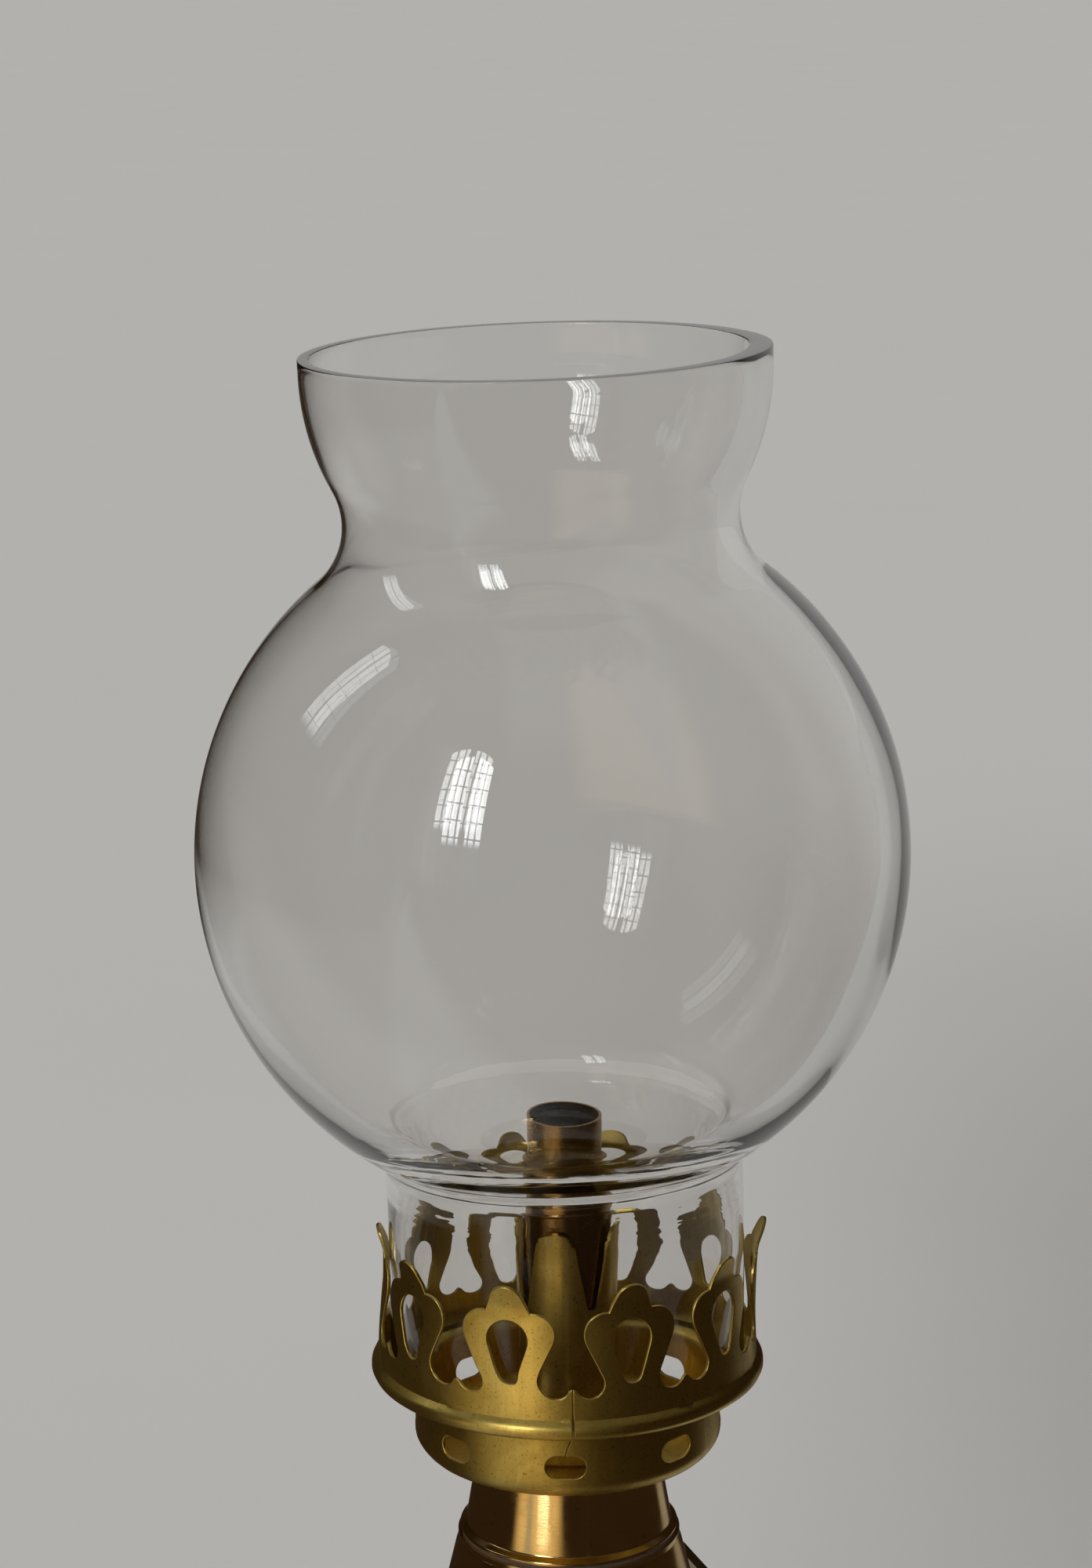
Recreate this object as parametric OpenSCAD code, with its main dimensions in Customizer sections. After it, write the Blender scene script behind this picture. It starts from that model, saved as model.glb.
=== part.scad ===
// Spirit lamp with a blown glass globe on a clawed brass gallery.
// Millimetres, +Z up. The origin is the centre of the foot, on the table; +X points to the handle.

/* [Foot] */
// Outer radius of the foot
foot_r = 42; // [39:0.5:48]
// Height of the foot, up to the seat of the fuel font
foot_h = 23.5; // [21:0.5:28]
// Height of the upright edge of the foot
foot_edge_h = 4.5; // [4:0.25:6]
// Radius of the concave sweep between the edge and the bead
foot_sweep_r = 17; // [15:0.5:24]
// Radius of the round bead under the font
foot_bead_r = 1.5; // [1:0.1:2]
// Thickness of the foot's sheet brass
foot_sheet = 0.6; // [0.4:0.1:0.9]
// Width of the rolled rim that stands on the table
foot_rim_w = 1.8; // [1.4:0.1:2.6]
// Thickness of the plate that closes the foot
foot_plate_t = 0.8; // [0.5:0.1:1.5]
// Height of that plate above the table
foot_plate_z = 0.8; // [0.5:0.1:1.5]
// Radius of the iron ballast disc
ballast_r = 24; // [18:0.5:26]
// Thickness of the ballast disc
ballast_t = 5; // [3:0.5:8]
// Radius of the stud that holds foot, ballast and font together
stud_r = 2.5; // [2:0.1:3]
// Radius of the stud's head, inside the font
stud_head_r = 4.3; // [3.8:0.1:5]
// Distance across the flats of the stud's nut
nut_af = 8; // [7:0.5:10]
// Height of the stud's nut
nut_h = 3.2; // [2.5:0.1:5]

/* [Font] */
// Outer radius of the font's cone at the foot
font_low_r = 27.5; // [25:0.5:30]
// Outer radius of the font's cone at the neck
font_top_r = 12.55; // [12.3:0.05:13.5]
// Height of the font's cone
font_h = 60.7; // [54:0.5:70]
// Thickness of the font's sheet brass
font_sheet = 0.5; // [0.4:0.05:0.8]
// Height of the upturned rim of the font's bottom pan
pan_rim_h = 3; // [2:0.5:5]
// Depth of the threaded neck ring inside the cone
neck_depth = 8; // [7.5:0.5:11]
// Thickness of the neck ring's flange
neck_flange_t = 0.6; // [0.4:0.1:1]
// Free height left above the cotton wadding
wadding_space = 12; // [10:0.5:16]

/* [Handle] */
// Width of the handle's strap
strap_w = 8; // [6:0.5:10]
// Thickness of the strap
strap_t = 1; // [0.8:0.1:1.4]
// Distance of the strap's outer face from the axis, at its widest
strap_reach = 41.7; // [40:0.1:44]
// Radius of the strap's round bend, along its middle
strap_bend_r = 14.5; // [12:0.5:15]
// Height of the strap's lower leg above the font's foot
strap_foot_h = 4.3; // [4:0.1:8]
// Depth below the neck at which the strap leaves the cone
strap_drop = 5.1; // [4.5:0.1:6]
// Length of the tabs that are soldered to the cone
tab_h = 3.6; // [3:0.1:4]

/* [Burner] */
// Outer radius of the thread that joins burner and font
thread_r = 9.2; // [8.8:0.1:9.4]
// Pitch of that thread
thread_pitch = 1.25; // [1:0.05:1.5]
// Depth of the thread's grooves
thread_depth = 0.5; // [0.3:0.05:0.7]
// Length of the thread
thread_h = 6.8; // [6:0.1:7.5]
// Thickness of the leather sealing washer
washer_t = 0.5; // [0.4:0.1:0.8]
// Amount by which the washer stays back from the neck's edge
washer_recess = 0.45; // [0.3:0.05:0.6]
// Outer radius of the burner cap's flared rim
cap_rim_r = 12.3; // [12.15:0.05:12.5]
// Radius of the cap's cone just above that rim
cap_low_r = 11.75; // [11.5:0.05:11.9]
// Radius of the cap's cone at its top
cap_top_r = 10.1; // [9.6:0.1:10.4]
// Height of the burner cap
cap_h = 9.7; // [9:0.1:11]
// Thickness of the cap's sheet brass
cap_sheet = 0.45; // [0.35:0.05:0.6]
// Outer radius of the fixed wick tube
tube_r = 4.3; // [4.1:0.05:4.4]
// Wall of the wick tube
tube_wall = 0.3; // [0.25:0.05:0.4]
// Height of the wick tube above the burner cap
tube_h = 37.4; // [36:0.1:40]

/* [Flame regulator] */
// Wall of the turning sleeve
sleeve_wall = 0.3; // [0.25:0.05:0.35]
// Height of the sleeve above the burner cap
sleeve_h = 30.5; // [29.5:0.1:33]
// Outer radius of the sleeve's seat and of its rolled top
seat_r = 5; // [4.95:0.05:5.2]
// Height of the seat above the burner cap
seat_h = 5; // [4:0.1:5.4]
// Height of the rolled top
roll_h = 1.3; // [1:0.1:1.6]
// Radius of the flange that keeps the sleeve in the cap
keeper_r = 6.3; // [6:0.1:6.8]
// Thickness of that flange
keeper_t = 0.5; // [0.4:0.1:0.8]
// Rise of the helical slot in one full turn
helix_lead = 16; // [14:0.5:18]
// Turn that lowers the wick, in degrees
turn_down = 135; // [90:5:150]
// Turn that raises the wick, in degrees
turn_up = 90; // [45:5:110]
// Radius of the pin that drives the wick
pin_r = 0.65; // [0.5:0.05:0.7]
// Height of that pin above the burner cap
pin_h = 12.8; // [12.6:0.1:13]
// Direction of the pin, degrees from the handle
pin_dir = 20; // [0:5:60]
// Wall of the wick's carrier tube
carrier_wall = 0.3; // [0.25:0.05:0.4]
// Height of the carrier tube
carrier_h = 12; // [8:0.5:16]
// Height of the wick's foot above the font's bottom
wick_foot = 10; // [9:0.5:14]
// Depth of the wick's charred top below the tube's mouth
wick_recess = 0.2; // [0.1:0.1:2]

/* [Gallery] */
// Direction that the gallery's seam faces, degrees from the handle
seam_dir = -133.5; // [-180:0.5:180]
// Thickness of the gallery's sheet brass
crown_sheet = 0.4; // [0.3:0.05:0.45]
// Radius of the pierced bowl
bowl_r = 17.2; // [16.8:0.1:17.8]
// Radius of the bowl's lower corner
bowl_corner = 2.6; // [2:0.1:3.5]
// Height of the bowl, up to the underside of the ledge
bowl_h = 9.05; // [8.5:0.05:10]
// Number of holes round the bowl
bowl_holes = 8; // [6:1:10]
// Width of a bowl hole
bowl_hole_w = 4.5; // [3.5:0.1:5]
// Height of a bowl hole
bowl_hole_h = 2.6; // [2:0.1:3]
// Height of the holes' middle above the gallery's floor
bowl_hole_z = 4.5; // [4:0.1:5]
// Radius of the rolled bead's section
bead_r = 1.07; // [0.9:0.01:1.2]
// Outermost radius of the bead
bead_reach = 21.97; // [21.9:0.01:22.4]
// Radius of the wall just above the bead
crown_low_r = 21.2; // [21.15:0.01:21.4]
// Radius of the wall where the claws press in
crown_grip_r = 20.6; // [20.6:0.01:20.8]
// Radius of the claws' flared tips
crown_tip_r = 21.4; // [21.2:0.05:21.8]
// Number of claws
claw_count = 10; // [9:1:11]
// Height of the claws' tips above the bead's top
claw_h = 15; // [14:0.1:16]
// Width of a claw where it is widest
claw_w = 10.3; // [9.8:0.1:10.8]
// Width of a claw's knob
knob_w = 4.7; // [4.2:0.1:5]
// Radius of a claw's rounded shoulders
shoulder_r = 2.4; // [2:0.1:2.6]
// Height of the claws' widest place above the bead's top
claw_wide_z = 9.7; // [9.3:0.1:10.2]
// Radius of the rounded lobes between two claws
lobe_r = 1.6; // [1.4:0.05:1.8]
// Distance between the middles of the two lobes
lobe_gap = 3.5; // [3.2:0.1:3.8]
// Height of the lobes' lowest point above the bead's top
lobe_z = 2.65; // [2:0.05:3.5]
// Height of the peak between two lobes above their lowest point
lobe_peak = 1.05; // [0.7:0.05:1.4]
// Upper radius of a claw's pear-shaped hole
pear_r = 2.25; // [1.8:0.05:2.4]
// Lower radius of the pear-shaped hole
pear_low_r = 1.05; // [0.8:0.05:1.2]
// Height of the pear's upper middle above the bead's top
pear_z = 8.9; // [8.5:0.1:9.2]
// Distance between the pear's two middles
pear_len = 3.85; // [3.5:0.05:4]
// Width of the open seam in the gallery
seam_w = 0.15; // [0.1:0.05:0.3]

/* [Collet] */
// Wall of the spring collet
collet_wall = 0.35; // [0.3:0.05:0.45]
// Radius of the collet's soldered flange
collet_flange_r = 8.6; // [8:0.1:10]
// Height of the fingers' tips above the gallery's floor
collet_h = 27.4; // [27:0.1:29]
// Height at which the slots begin
collet_slot_z = 18.3; // [18:0.1:19]
// Outward flare of the fingers' tips
collet_flare = 0.2; // [0:0.05:0.3]
// Number of spring fingers
finger_count = 4; // [3:1:4]
// Angle that a finger covers at its root, degrees
finger_angle = 76; // [70:1:80]
// Radius of a finger's round tip
finger_tip_r = 2.4; // [2:0.1:2.6]
// Direction of the first finger, degrees from the handle
finger_dir = -149; // [-180:1:180]

/* [Globe] */
// Outer radius of the globe's base
globe_base_r = 19.8; // [19.4:0.05:19.85]
// Height of the bulge's middle above the globe's foot
globe_mid_z = 59.3; // [58:0.1:61]
// Outer radius of the bulge at its widest
globe_bulge_r = 38.85; // [38:0.05:40]
// Radius of the bulge's outline
globe_arc_r = 39.33; // [38.6:0.01:40]
// Radius of the fillet above the base
globe_fillet_r = 3.05; // [2.5:0.05:4]
// Outer radius of the waist
globe_waist_r = 21.25; // [20.5:0.05:22]
// Radius of the waist's outline
globe_waist_arc = 8.42; // [7.5:0.01:9.5]
// Outer radius of the rim
globe_rim_r = 25.13; // [24.5:0.01:26]
// Radius of the outline that turns from the waist up to the rim
globe_neck_arc = 27; // [25:0.1:29]
// Straight glass under the rounded rim
globe_lip_h = 0.2; // [0.1:0.05:1]
// Wall of the glass at base, waist and rim
glass_wall = 2; // [1.6:0.05:2.2]
// Wall of the glass at the bulge's widest
glass_bulge_wall = 2.35; // [2:0.05:2.6]
// Height by which the inside of the bulge sits higher, for a thick lower wall
glass_lift = 0.9; // [0:0.1:1.2]

/* [Fits] */
// Gap of a seated or soldered joint between round faces
seat_gap = 0.03; // [0.02:0.01:0.05]
// Running clearance of what turns or slides, at the radius
run_gap = 0.05; // [0.03:0.01:0.08]
// Clearance of soft wadding and loose hidden pieces
soft_gap = 0.4; // [0.3:0.05:0.6]

/* [Hidden] */
$fn = 96;
eps = 0.01;
// Far enough outside to cut clean through any wall
beyond = 60;

// Levels, from the table up
z_font = foot_h;
z_neck = z_font + font_h;
z_washer = z_neck + neck_flange_t;
z_cap = z_washer + washer_t;
z_top = z_cap + cap_h;
z_ledge = z_top + bowl_h;
z_bead = z_ledge + bead_r;
z_wall = z_bead + bead_r * 0.9;
z_tip = z_wall + claw_h;
z_globe = z_ledge + crown_sheet;
z_pin = z_top + pin_h;

// The font's cone
font_slope = (font_low_r - font_top_r) / font_h;
font_wall = font_sheet * sqrt(1 + font_slope * font_slope);
function font_radius(z) = font_low_r - font_slope * (z - z_font);
function font_inside(z) = font_radius(z) - font_wall - seat_gap;

// The burner's concentric tubes
sleeve_in = tube_r + run_gap;
sleeve_out = sleeve_in + sleeve_wall;
collet_in = seat_r + run_gap;
collet_out = collet_in + collet_wall;
carrier_out = tube_r - tube_wall - run_gap;
carrier_in = carrier_out - carrier_wall;
pin_slot_r = pin_r + 3 * run_gap;
z_keeper = z_top - cap_sheet - run_gap - keeper_t;
wick_down = helix_lead * turn_down / 360;
wick_up = helix_lead * turn_up / 360;

// Points of an arc about c, from angle a to angle b, in n steps
function arc(c, r, a, b, n) = [for (i = [0:n]) c + r * [cos(a + (b - a) * i / n), sin(a + (b - a) * i / n)]];
// Unit vector square to the step from p to q, on the outside of a path that runs upwards
function side(p, q) = [q[1] - p[1], p[0] - q[0]] / norm(q - p);
// Corner normal of a path at point i, lengthened so that both neighbours keep their distance
function corner(path, i) =
    let (last = len(path) - 1,
        a = side(path[max(i - 1, 0)], path[max(i, 1)]),
        b = side(path[min(i, last - 1)], path[min(i + 1, last)]),
        m = a + b)
    2 * m / (m * m);
// A path and its inner parallel at distance t, as one closed outline
function sheet(path, t) =
    concat(path, [for (i = [len(path) - 1:-1:0]) path[i] - t * corner(path, i)]);

// A ring with a rectangular section
module ring(r_in, r_out, z0, z1)
    rotate_extrude() translate([r_in, z0]) square([r_out - r_in, z1 - z0]);

// A flat outline in (across, up), pushed outwards through the wall that faces direction a
module through(a, from_r = 0)
    rotate([0, 0, a]) translate([from_r, 0, 0]) rotate([90, 0, 90]) linear_extrude(beyond) children();

module foot_shell() {
    edge_round = 1.2;
    shelf_w = 1.9;
    rim_chamfer = 0.5;
    groove_w = foot_rim_w / 2;
    bead_c = [font_low_r, z_font - foot_bead_r];
    edge_c = [foot_r - edge_round, foot_edge_h - edge_round];
    // The concave sweep runs from the shelf on the edge to the underside of the bead
    sweep_top = bead_c + foot_bead_r * [cos(60), -sin(60)];
    sweep_low = [foot_r - shelf_w, foot_edge_h];
    half = norm(sweep_top - sweep_low) / 2;
    mid = (sweep_top + sweep_low) / 2;
    along = (sweep_top - sweep_low) / (2 * half);
    sweep_c = mid + sqrt(foot_sweep_r * foot_sweep_r - half * half) * [along[1], -along[0]];
    a_low = atan2(sweep_low[1] - sweep_c[1], sweep_low[0] - sweep_c[0]);
    a_top = atan2(sweep_top[1] - sweep_c[1], sweep_top[0] - sweep_c[0]);
    path = concat(
        [[foot_r, foot_sheet]],
        arc(edge_c, edge_round, 0, 80, 5),
        arc(sweep_c, foot_sweep_r, a_low + 360, a_top + (a_top < 0 ? 360 : 0), 12),
        arc(bead_c, foot_bead_r, -50, 90, 9),
        [[stud_r + seat_gap, z_font]]);
    color("goldenrod") {
        rotate_extrude() polygon(sheet(path, foot_sheet));
        rotate_extrude() difference() {
            translate([foot_r - foot_rim_w, 0])
                square([foot_rim_w, foot_plate_z + foot_plate_t + groove_w]);
            translate([foot_r - foot_rim_w - eps, foot_plate_z])
                square([groove_w + eps, foot_plate_t + seat_gap]);
            polygon([[foot_r + eps, -eps], [foot_r + eps, rim_chamfer], [foot_r - rim_chamfer, -eps]]);
        }
    }
}

module foot_plate()
    color("darkgoldenrod")
        ring(0, foot_r - foot_rim_w / 2 - seat_gap, foot_plate_z, foot_plate_z + foot_plate_t);

module ballast_disc() {
    chamfer = 1;
    top = z_font - foot_sheet;
    low = top - ballast_t;
    color("dimgray")
        rotate_extrude()
            polygon([[stud_r + seat_gap, low], [ballast_r - chamfer, low], [ballast_r, low + chamfer],
                [ballast_r, top], [stud_r + seat_gap, top]]);
}

module foot_stud() {
    head_t = 1.2;
    past_nut = 1;
    seat_z = z_font + font_sheet;
    color("silver") {
        ring(0, stud_r, z_font - foot_sheet - ballast_t - nut_h - past_nut, seat_z);
        ring(0, stud_head_r, seat_z, seat_z + head_t);
    }
}

module stud_nut() {
    top = z_font - foot_sheet - ballast_t;
    color("silver")
        difference() {
            translate([0, 0, top - nut_h]) cylinder(r = nut_af / sqrt(3), h = nut_h, $fn = 6);
            translate([0, 0, top - nut_h - eps]) cylinder(r = stud_r + seat_gap, h = nut_h + 2 * eps);
        }
}

module font_shell()
    color("goldenrod")
        rotate_extrude()
            polygon([[font_low_r, z_font], [font_top_r, z_neck], [font_top_r - font_wall, z_neck],
                [font_low_r - font_wall, z_font]]);

module font_pan() {
    rim_z = z_font + pan_rim_h;
    color("darkgoldenrod")
        rotate_extrude()
            polygon([[stud_r + seat_gap, z_font], [font_inside(z_font), z_font], [font_inside(rim_z), rim_z],
                [font_inside(rim_z) - font_sheet, rim_z],
                [font_inside(z_font) - font_sheet, z_font + font_sheet],
                [stud_r + seat_gap, z_font + font_sheet]]);
}

module neck_ring() {
    bore = thread_r + run_gap;
    low = z_neck - neck_depth;
    color("goldenrod")
        rotate_extrude()
            polygon([[bore, low], [font_inside(low), low], [font_inside(z_neck), z_neck],
                [font_top_r, z_neck], [font_top_r, z_washer], [bore, z_washer]]);
}

module wadding() {
    top = z_neck - wadding_space;
    rim_z = z_font + pan_rim_h + soft_gap;
    low = z_font + font_sheet + soft_gap;
    floor_r = font_inside(z_font + pan_rim_h) - font_sheet - soft_gap;
    hole_r = tube_r + soft_gap;
    // A hollow under the middle clears the stud's head and the foot of the wick
    hollow_z = z_font + wick_foot - wick_down - 2 * soft_gap;
    color("ivory")
        rotate_extrude()
            polygon([[hole_r, hollow_z], [stud_head_r + 3 * soft_gap, low], [floor_r, low],
                [floor_r, rim_z], [font_inside(rim_z) - soft_gap, rim_z],
                [font_inside(top) - soft_gap, top], [hole_r, top]]);
}

// A piece of conical sheet, outside the font, as wide as the strap
module tab(z0, z1)
    intersection() {
        rotate_extrude()
            polygon([[font_radius(z0), z0], [font_radius(z0) + strap_t + seat_gap, z0],
                [font_radius(z1) + strap_t + seat_gap, z1], [font_radius(z1), z1]]);
        translate([0, -strap_w / 2, z0]) cube([beyond, strap_w, z1 - z0]);
    }

module handle() {
    // The path is the strap's outer face, from the lower tab round the bend to the upper tab
    margin = 1;
    leave_z = z_neck - strap_drop;
    foot_z = z_font + strap_foot_h;
    start = [font_radius(leave_z) + strap_t, leave_z];
    // The bend starts outside the cone
    face_r = min(strap_bend_r + strap_t / 2, strap_reach - font_radius(foot_z));
    bend_c = [strap_reach - face_r, foot_z + face_r];
    // The straight part is the tangent from the upper tab to the bend
    rise = start - bend_c;
    touch = atan2(rise[1], rise[0]) - acos(face_r / norm(rise));
    inner_end = [font_radius(foot_z) - 2 * strap_t, foot_z];
    path = concat([inner_end], arc(bend_c, face_r, -90, touch, 20), [start]);
    color("saddlebrown")
        difference() {
            union() {
                translate([0, strap_w / 2, 0]) rotate([90, 0, 0]) linear_extrude(strap_w)
                    polygon(sheet(path, strap_t));
                tab(leave_z - strap_t, leave_z + tab_h - strap_t);
                tab(foot_z - tab_h, foot_z + strap_t / 2);
            }
            rotate_extrude()
                polygon([[0, z_font - margin], [font_radius(z_font - margin) + seat_gap, z_font - margin],
                    [font_radius(z_neck + margin) + seat_gap, z_neck + margin], [0, z_neck + margin]]);
        }
}

module seal_washer()
    color("saddlebrown")
        ring(thread_r + run_gap, font_top_r - washer_recess, z_washer, z_cap);

// Radius of the cap's cone at height z
function cap_radius(z) = cap_low_r + (cap_top_r - cap_low_r) * (z - z_cap) / cap_h;

module burner_cap() {
    rim_h = 0.4;
    top_round = 0.5;
    round_z = z_top - top_round;
    path = concat(
        [[cap_rim_r, z_cap], [cap_rim_r, z_cap + rim_h], [cap_radius(z_cap + 2 * rim_h), z_cap + 2 * rim_h]],
        arc([cap_radius(round_z) - top_round, round_z], top_round, 10, 90, 4),
        [[collet_in, z_top]]);
    color("gold") rotate_extrude() polygon(sheet(path, cap_sheet));
}

module thread_bush() {
    flange_t = 1;
    hub_r = 7;
    low = z_washer - thread_h;
    turns = floor(thread_h / thread_pitch);
    bore = tube_r + seat_gap;
    flange_r = cap_radius(z_cap + flange_t) - cap_sheet - 2 * seat_gap;
    // Each turn of the thread is drawn as a closed groove between two crests
    grooves = [for (i = [0:turns - 1], k = [0:2])
        [thread_r - (k == 1 ? thread_depth : 0), low + (i + 0.25 + k * 0.25) * thread_pitch]];
    color("goldenrod")
        rotate_extrude()
            polygon(concat([[bore, low], [thread_r - thread_depth, low]], grooves,
                [[thread_r, z_cap], [flange_r, z_cap], [flange_r, z_cap + flange_t],
                    [hub_r, z_cap + flange_t], [hub_r, z_keeper - run_gap], [bore, z_keeper - run_gap]]));
}

module wick_tube() {
    below = 3;
    low = z_washer - thread_h - below;
    slot_low = z_pin - wick_down - pin_slot_r;
    slot_high = z_pin + wick_up + pin_slot_r;
    color("goldenrod")
        difference() {
            ring(tube_r - tube_wall, tube_r, low, z_top + tube_h);
            through(pin_dir)
                translate([-pin_slot_r, slot_low]) square([2 * pin_slot_r, slot_high - slot_low]);
        }
}

module regulator_sleeve() {
    high = z_top + sleeve_h;
    roll_r = roll_h / 3;
    step_angle = 7.5;
    steps = ceil((turn_down + turn_up) / step_angle);
    color("goldenrod")
        difference() {
            rotate_extrude()
                polygon(concat(
                    [[sleeve_in, z_keeper], [keeper_r, z_keeper], [keeper_r, z_keeper + keeper_t],
                        [seat_r, z_keeper + keeper_t], [seat_r, z_top + seat_h - (seat_r - sleeve_out)],
                        [sleeve_out, z_top + seat_h], [sleeve_out, high - roll_h]],
                    arc([seat_r - roll_r, high - roll_h / 2], roll_r, -60, 60, 6),
                    [[sleeve_out, high], [sleeve_in, high]]));
            // The helical slot, as overlapping round cuts along its middle line
            for (i = [0:steps]) {
                turn = -turn_down + (turn_down + turn_up) * i / steps;
                through(pin_dir - turn)
                    translate([0, z_pin + helix_lead * turn / 360])
                        circle(r = pin_slot_r, $fn = 24);
            }
        }
}

module wick_carrier()
    color("goldenrod")
        difference() {
            ring(carrier_in, carrier_out, z_pin - carrier_h / 2, z_pin + carrier_h / 2);
            through(pin_dir) translate([0, z_pin]) circle(r = pin_r + seat_gap, $fn = 32);
        }

module drive_pin()
    color("silver")
        rotate([0, 0, pin_dir]) translate([carrier_in + seat_gap, 0, z_pin]) rotate([0, 90, 0])
            cylinder(r = pin_r, h = sleeve_out - carrier_in - 2 * seat_gap, $fn = 32);

module wick() {
    frayed = 0.5;
    low = z_font + wick_foot;
    high = z_top + tube_h - wick_recess;
    neck_z = z_pin + carrier_h / 2;
    head_r = tube_r - tube_wall - 2 * run_gap;
    stem_r = carrier_in - seat_gap;
    color("dimgray")
        rotate_extrude()
            polygon([[0, low], [stem_r - frayed, low], [stem_r, low + frayed], [stem_r, neck_z],
                [head_r, neck_z], [head_r, high - frayed], [head_r - frayed, high], [0, high]]);
}

// Half of the cut-out between two claws, from its middle peak up to the knob's top
function notch_half(pitch_u) =
    let (peak_half_w = 0.3,
        knob_fillet = 0.25,
        lobe_c = [lobe_gap / 2, z_wall + lobe_z + lobe_r],
        shoulder_c = [pitch_u - claw_w / 2 + shoulder_r, z_wall + claw_wide_z],
        knob_c = [pitch_u, z_tip - knob_w / 2],
        gap = shoulder_c - lobe_c,
        // Direction in which the lobe and the claw's shoulder touch a common tangent
        lean = atan2(gap[1], gap[0]) - acos((lobe_r + shoulder_r) / norm(gap)),
        from_peak = acos(min(1, (lobe_c[0] - peak_half_w) / lobe_r)),
        knob_side = pitch_u - knob_w / 2,
        to_knob = acos((knob_side - shoulder_c[0]) / shoulder_r))
    concat(
        [[0, lobe_c[1] - lobe_r + lobe_peak]],
        arc(lobe_c, lobe_r, 180 + from_peak, 360 + lean, 8),
        arc(shoulder_c, shoulder_r, 180 + lean, to_knob, 8),
        [[knob_side, shoulder_c[1] + shoulder_r + knob_fillet]],
        arc(knob_c, knob_w / 2, 180, 100, 5));

module notch() {
    margin = 1;
    pitch_u = crown_grip_r * sin(180 / claw_count);
    half = notch_half(pitch_u);
    polygon(concat(half, [[pitch_u + margin, z_tip + margin], [-pitch_u - margin, z_tip + margin]],
        [for (i = [len(half) - 1:-1:1]) [-half[i][0], half[i][1]]]));
}

// Outline round two circles, one above the other, with their common tangents
module pear(c, r, low_r, length) {
    lean = asin((r - low_r) / length);
    polygon(concat(
        arc([0, c], r, -lean, 180 + lean, 12),
        arc([0, c - length], low_r, 180 + lean, 360 - lean, 8)));
}

// A slot with round ends, about its middle
module oval(width, height) {
    square([width - height, height], center = true);
    for (s = [-1, 1])
        translate([s * (width - height) / 2, 0]) circle(d = height, $fn = 32);
}

module gallery_crown() {
    ledge_fillet = 0.9;
    wall_foot = 0.3;
    wall_h = 2;
    flare_h = 2.6;
    flare = crown_tip_r - crown_grip_r;
    // The claws' tips turn outwards on an arc that leaves the gripping wall upright
    flare_r = (flare_h * flare_h + flare * flare) / (2 * flare);
    bead_c = [bead_reach - bead_r, z_bead];
    corner_c = [bowl_r - bowl_corner, z_top + bowl_corner];
    path = concat(
        [[collet_out + seat_gap, z_top]],
        arc(corner_c, bowl_corner, -90, 0, 6),
        arc([bowl_r, z_ledge] + ledge_fillet * [1, -1], ledge_fillet, 180, 90, 3),
        arc(bead_c, bead_r, -90, 75, 9),
        [[crown_low_r, z_wall + wall_foot], [crown_low_r, z_wall + wall_h],
            [crown_grip_r, z_tip - 1.5 * flare_h]],
        arc([crown_grip_r + flare_r, z_tip - flare_h], flare_r, 180, 180 - asin(flare_h / flare_r), 3));
    color("darkgoldenrod")
        difference() {
            rotate_extrude() polygon(sheet(path, crown_sheet));
            for (i = [0:claw_count - 1])
                through(seam_dir + i * 360 / claw_count, bowl_r) notch();
            for (i = [0:claw_count - 1])
                through(seam_dir + (i + 0.5) * 360 / claw_count, bowl_r)
                    pear(z_wall + pear_z, pear_r, pear_low_r, pear_len);
            for (i = [0:bowl_holes - 1])
                through(seam_dir + i * 360 / bowl_holes, collet_flange_r)
                    translate([0, z_top + bowl_hole_z]) oval(bowl_hole_w, bowl_hole_h);
            // The seam is open from a hole of the bowl up to the cut-out above it
            through(seam_dir, collet_flange_r)
                translate([-seam_w / 2, z_top + bowl_hole_z])
                    square([seam_w, z_wall + lobe_z + lobe_r - z_top - bowl_hole_z]);
        }
}

module gallery_collet() {
    fillet = 0.5;
    overlap = 1;
    flare_h = 2;
    floor_z = z_top + crown_sheet;
    slot_z = z_top + collet_slot_z;
    tip_z = z_top + collet_h;
    flare_z = tip_z - flare_h;
    root_u = collet_out * sin(finger_angle / 2);
    half = concat([[root_u + fillet, slot_z - overlap]],
        arc([root_u + fillet, slot_z + fillet], fillet, 270, 180, 4),
        arc([0, tip_z - finger_tip_r], finger_tip_r, 5, 90, 8));
    color("darkgoldenrod") {
        rotate_extrude()
            polygon([[collet_in, z_top], [collet_out, z_top], [collet_out, floor_z],
                [collet_flange_r, floor_z], [collet_flange_r, floor_z + collet_wall],
                [collet_out, floor_z + collet_wall], [collet_out, slot_z], [collet_in, slot_z]]);
        intersection() {
            rotate_extrude()
                polygon([[collet_in, slot_z], [collet_out, slot_z], [collet_out, flare_z],
                    [collet_out + collet_flare, tip_z], [collet_in + collet_flare, tip_z],
                    [collet_in, flare_z]]);
            union()
                for (i = [0:finger_count - 1])
                    through(finger_dir + i * 360 / finger_count)
                        polygon(concat(half, [for (k = [len(half) - 2:-1:0]) [-half[k][0], half[k][1]]]));
        }
    }
}

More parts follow.
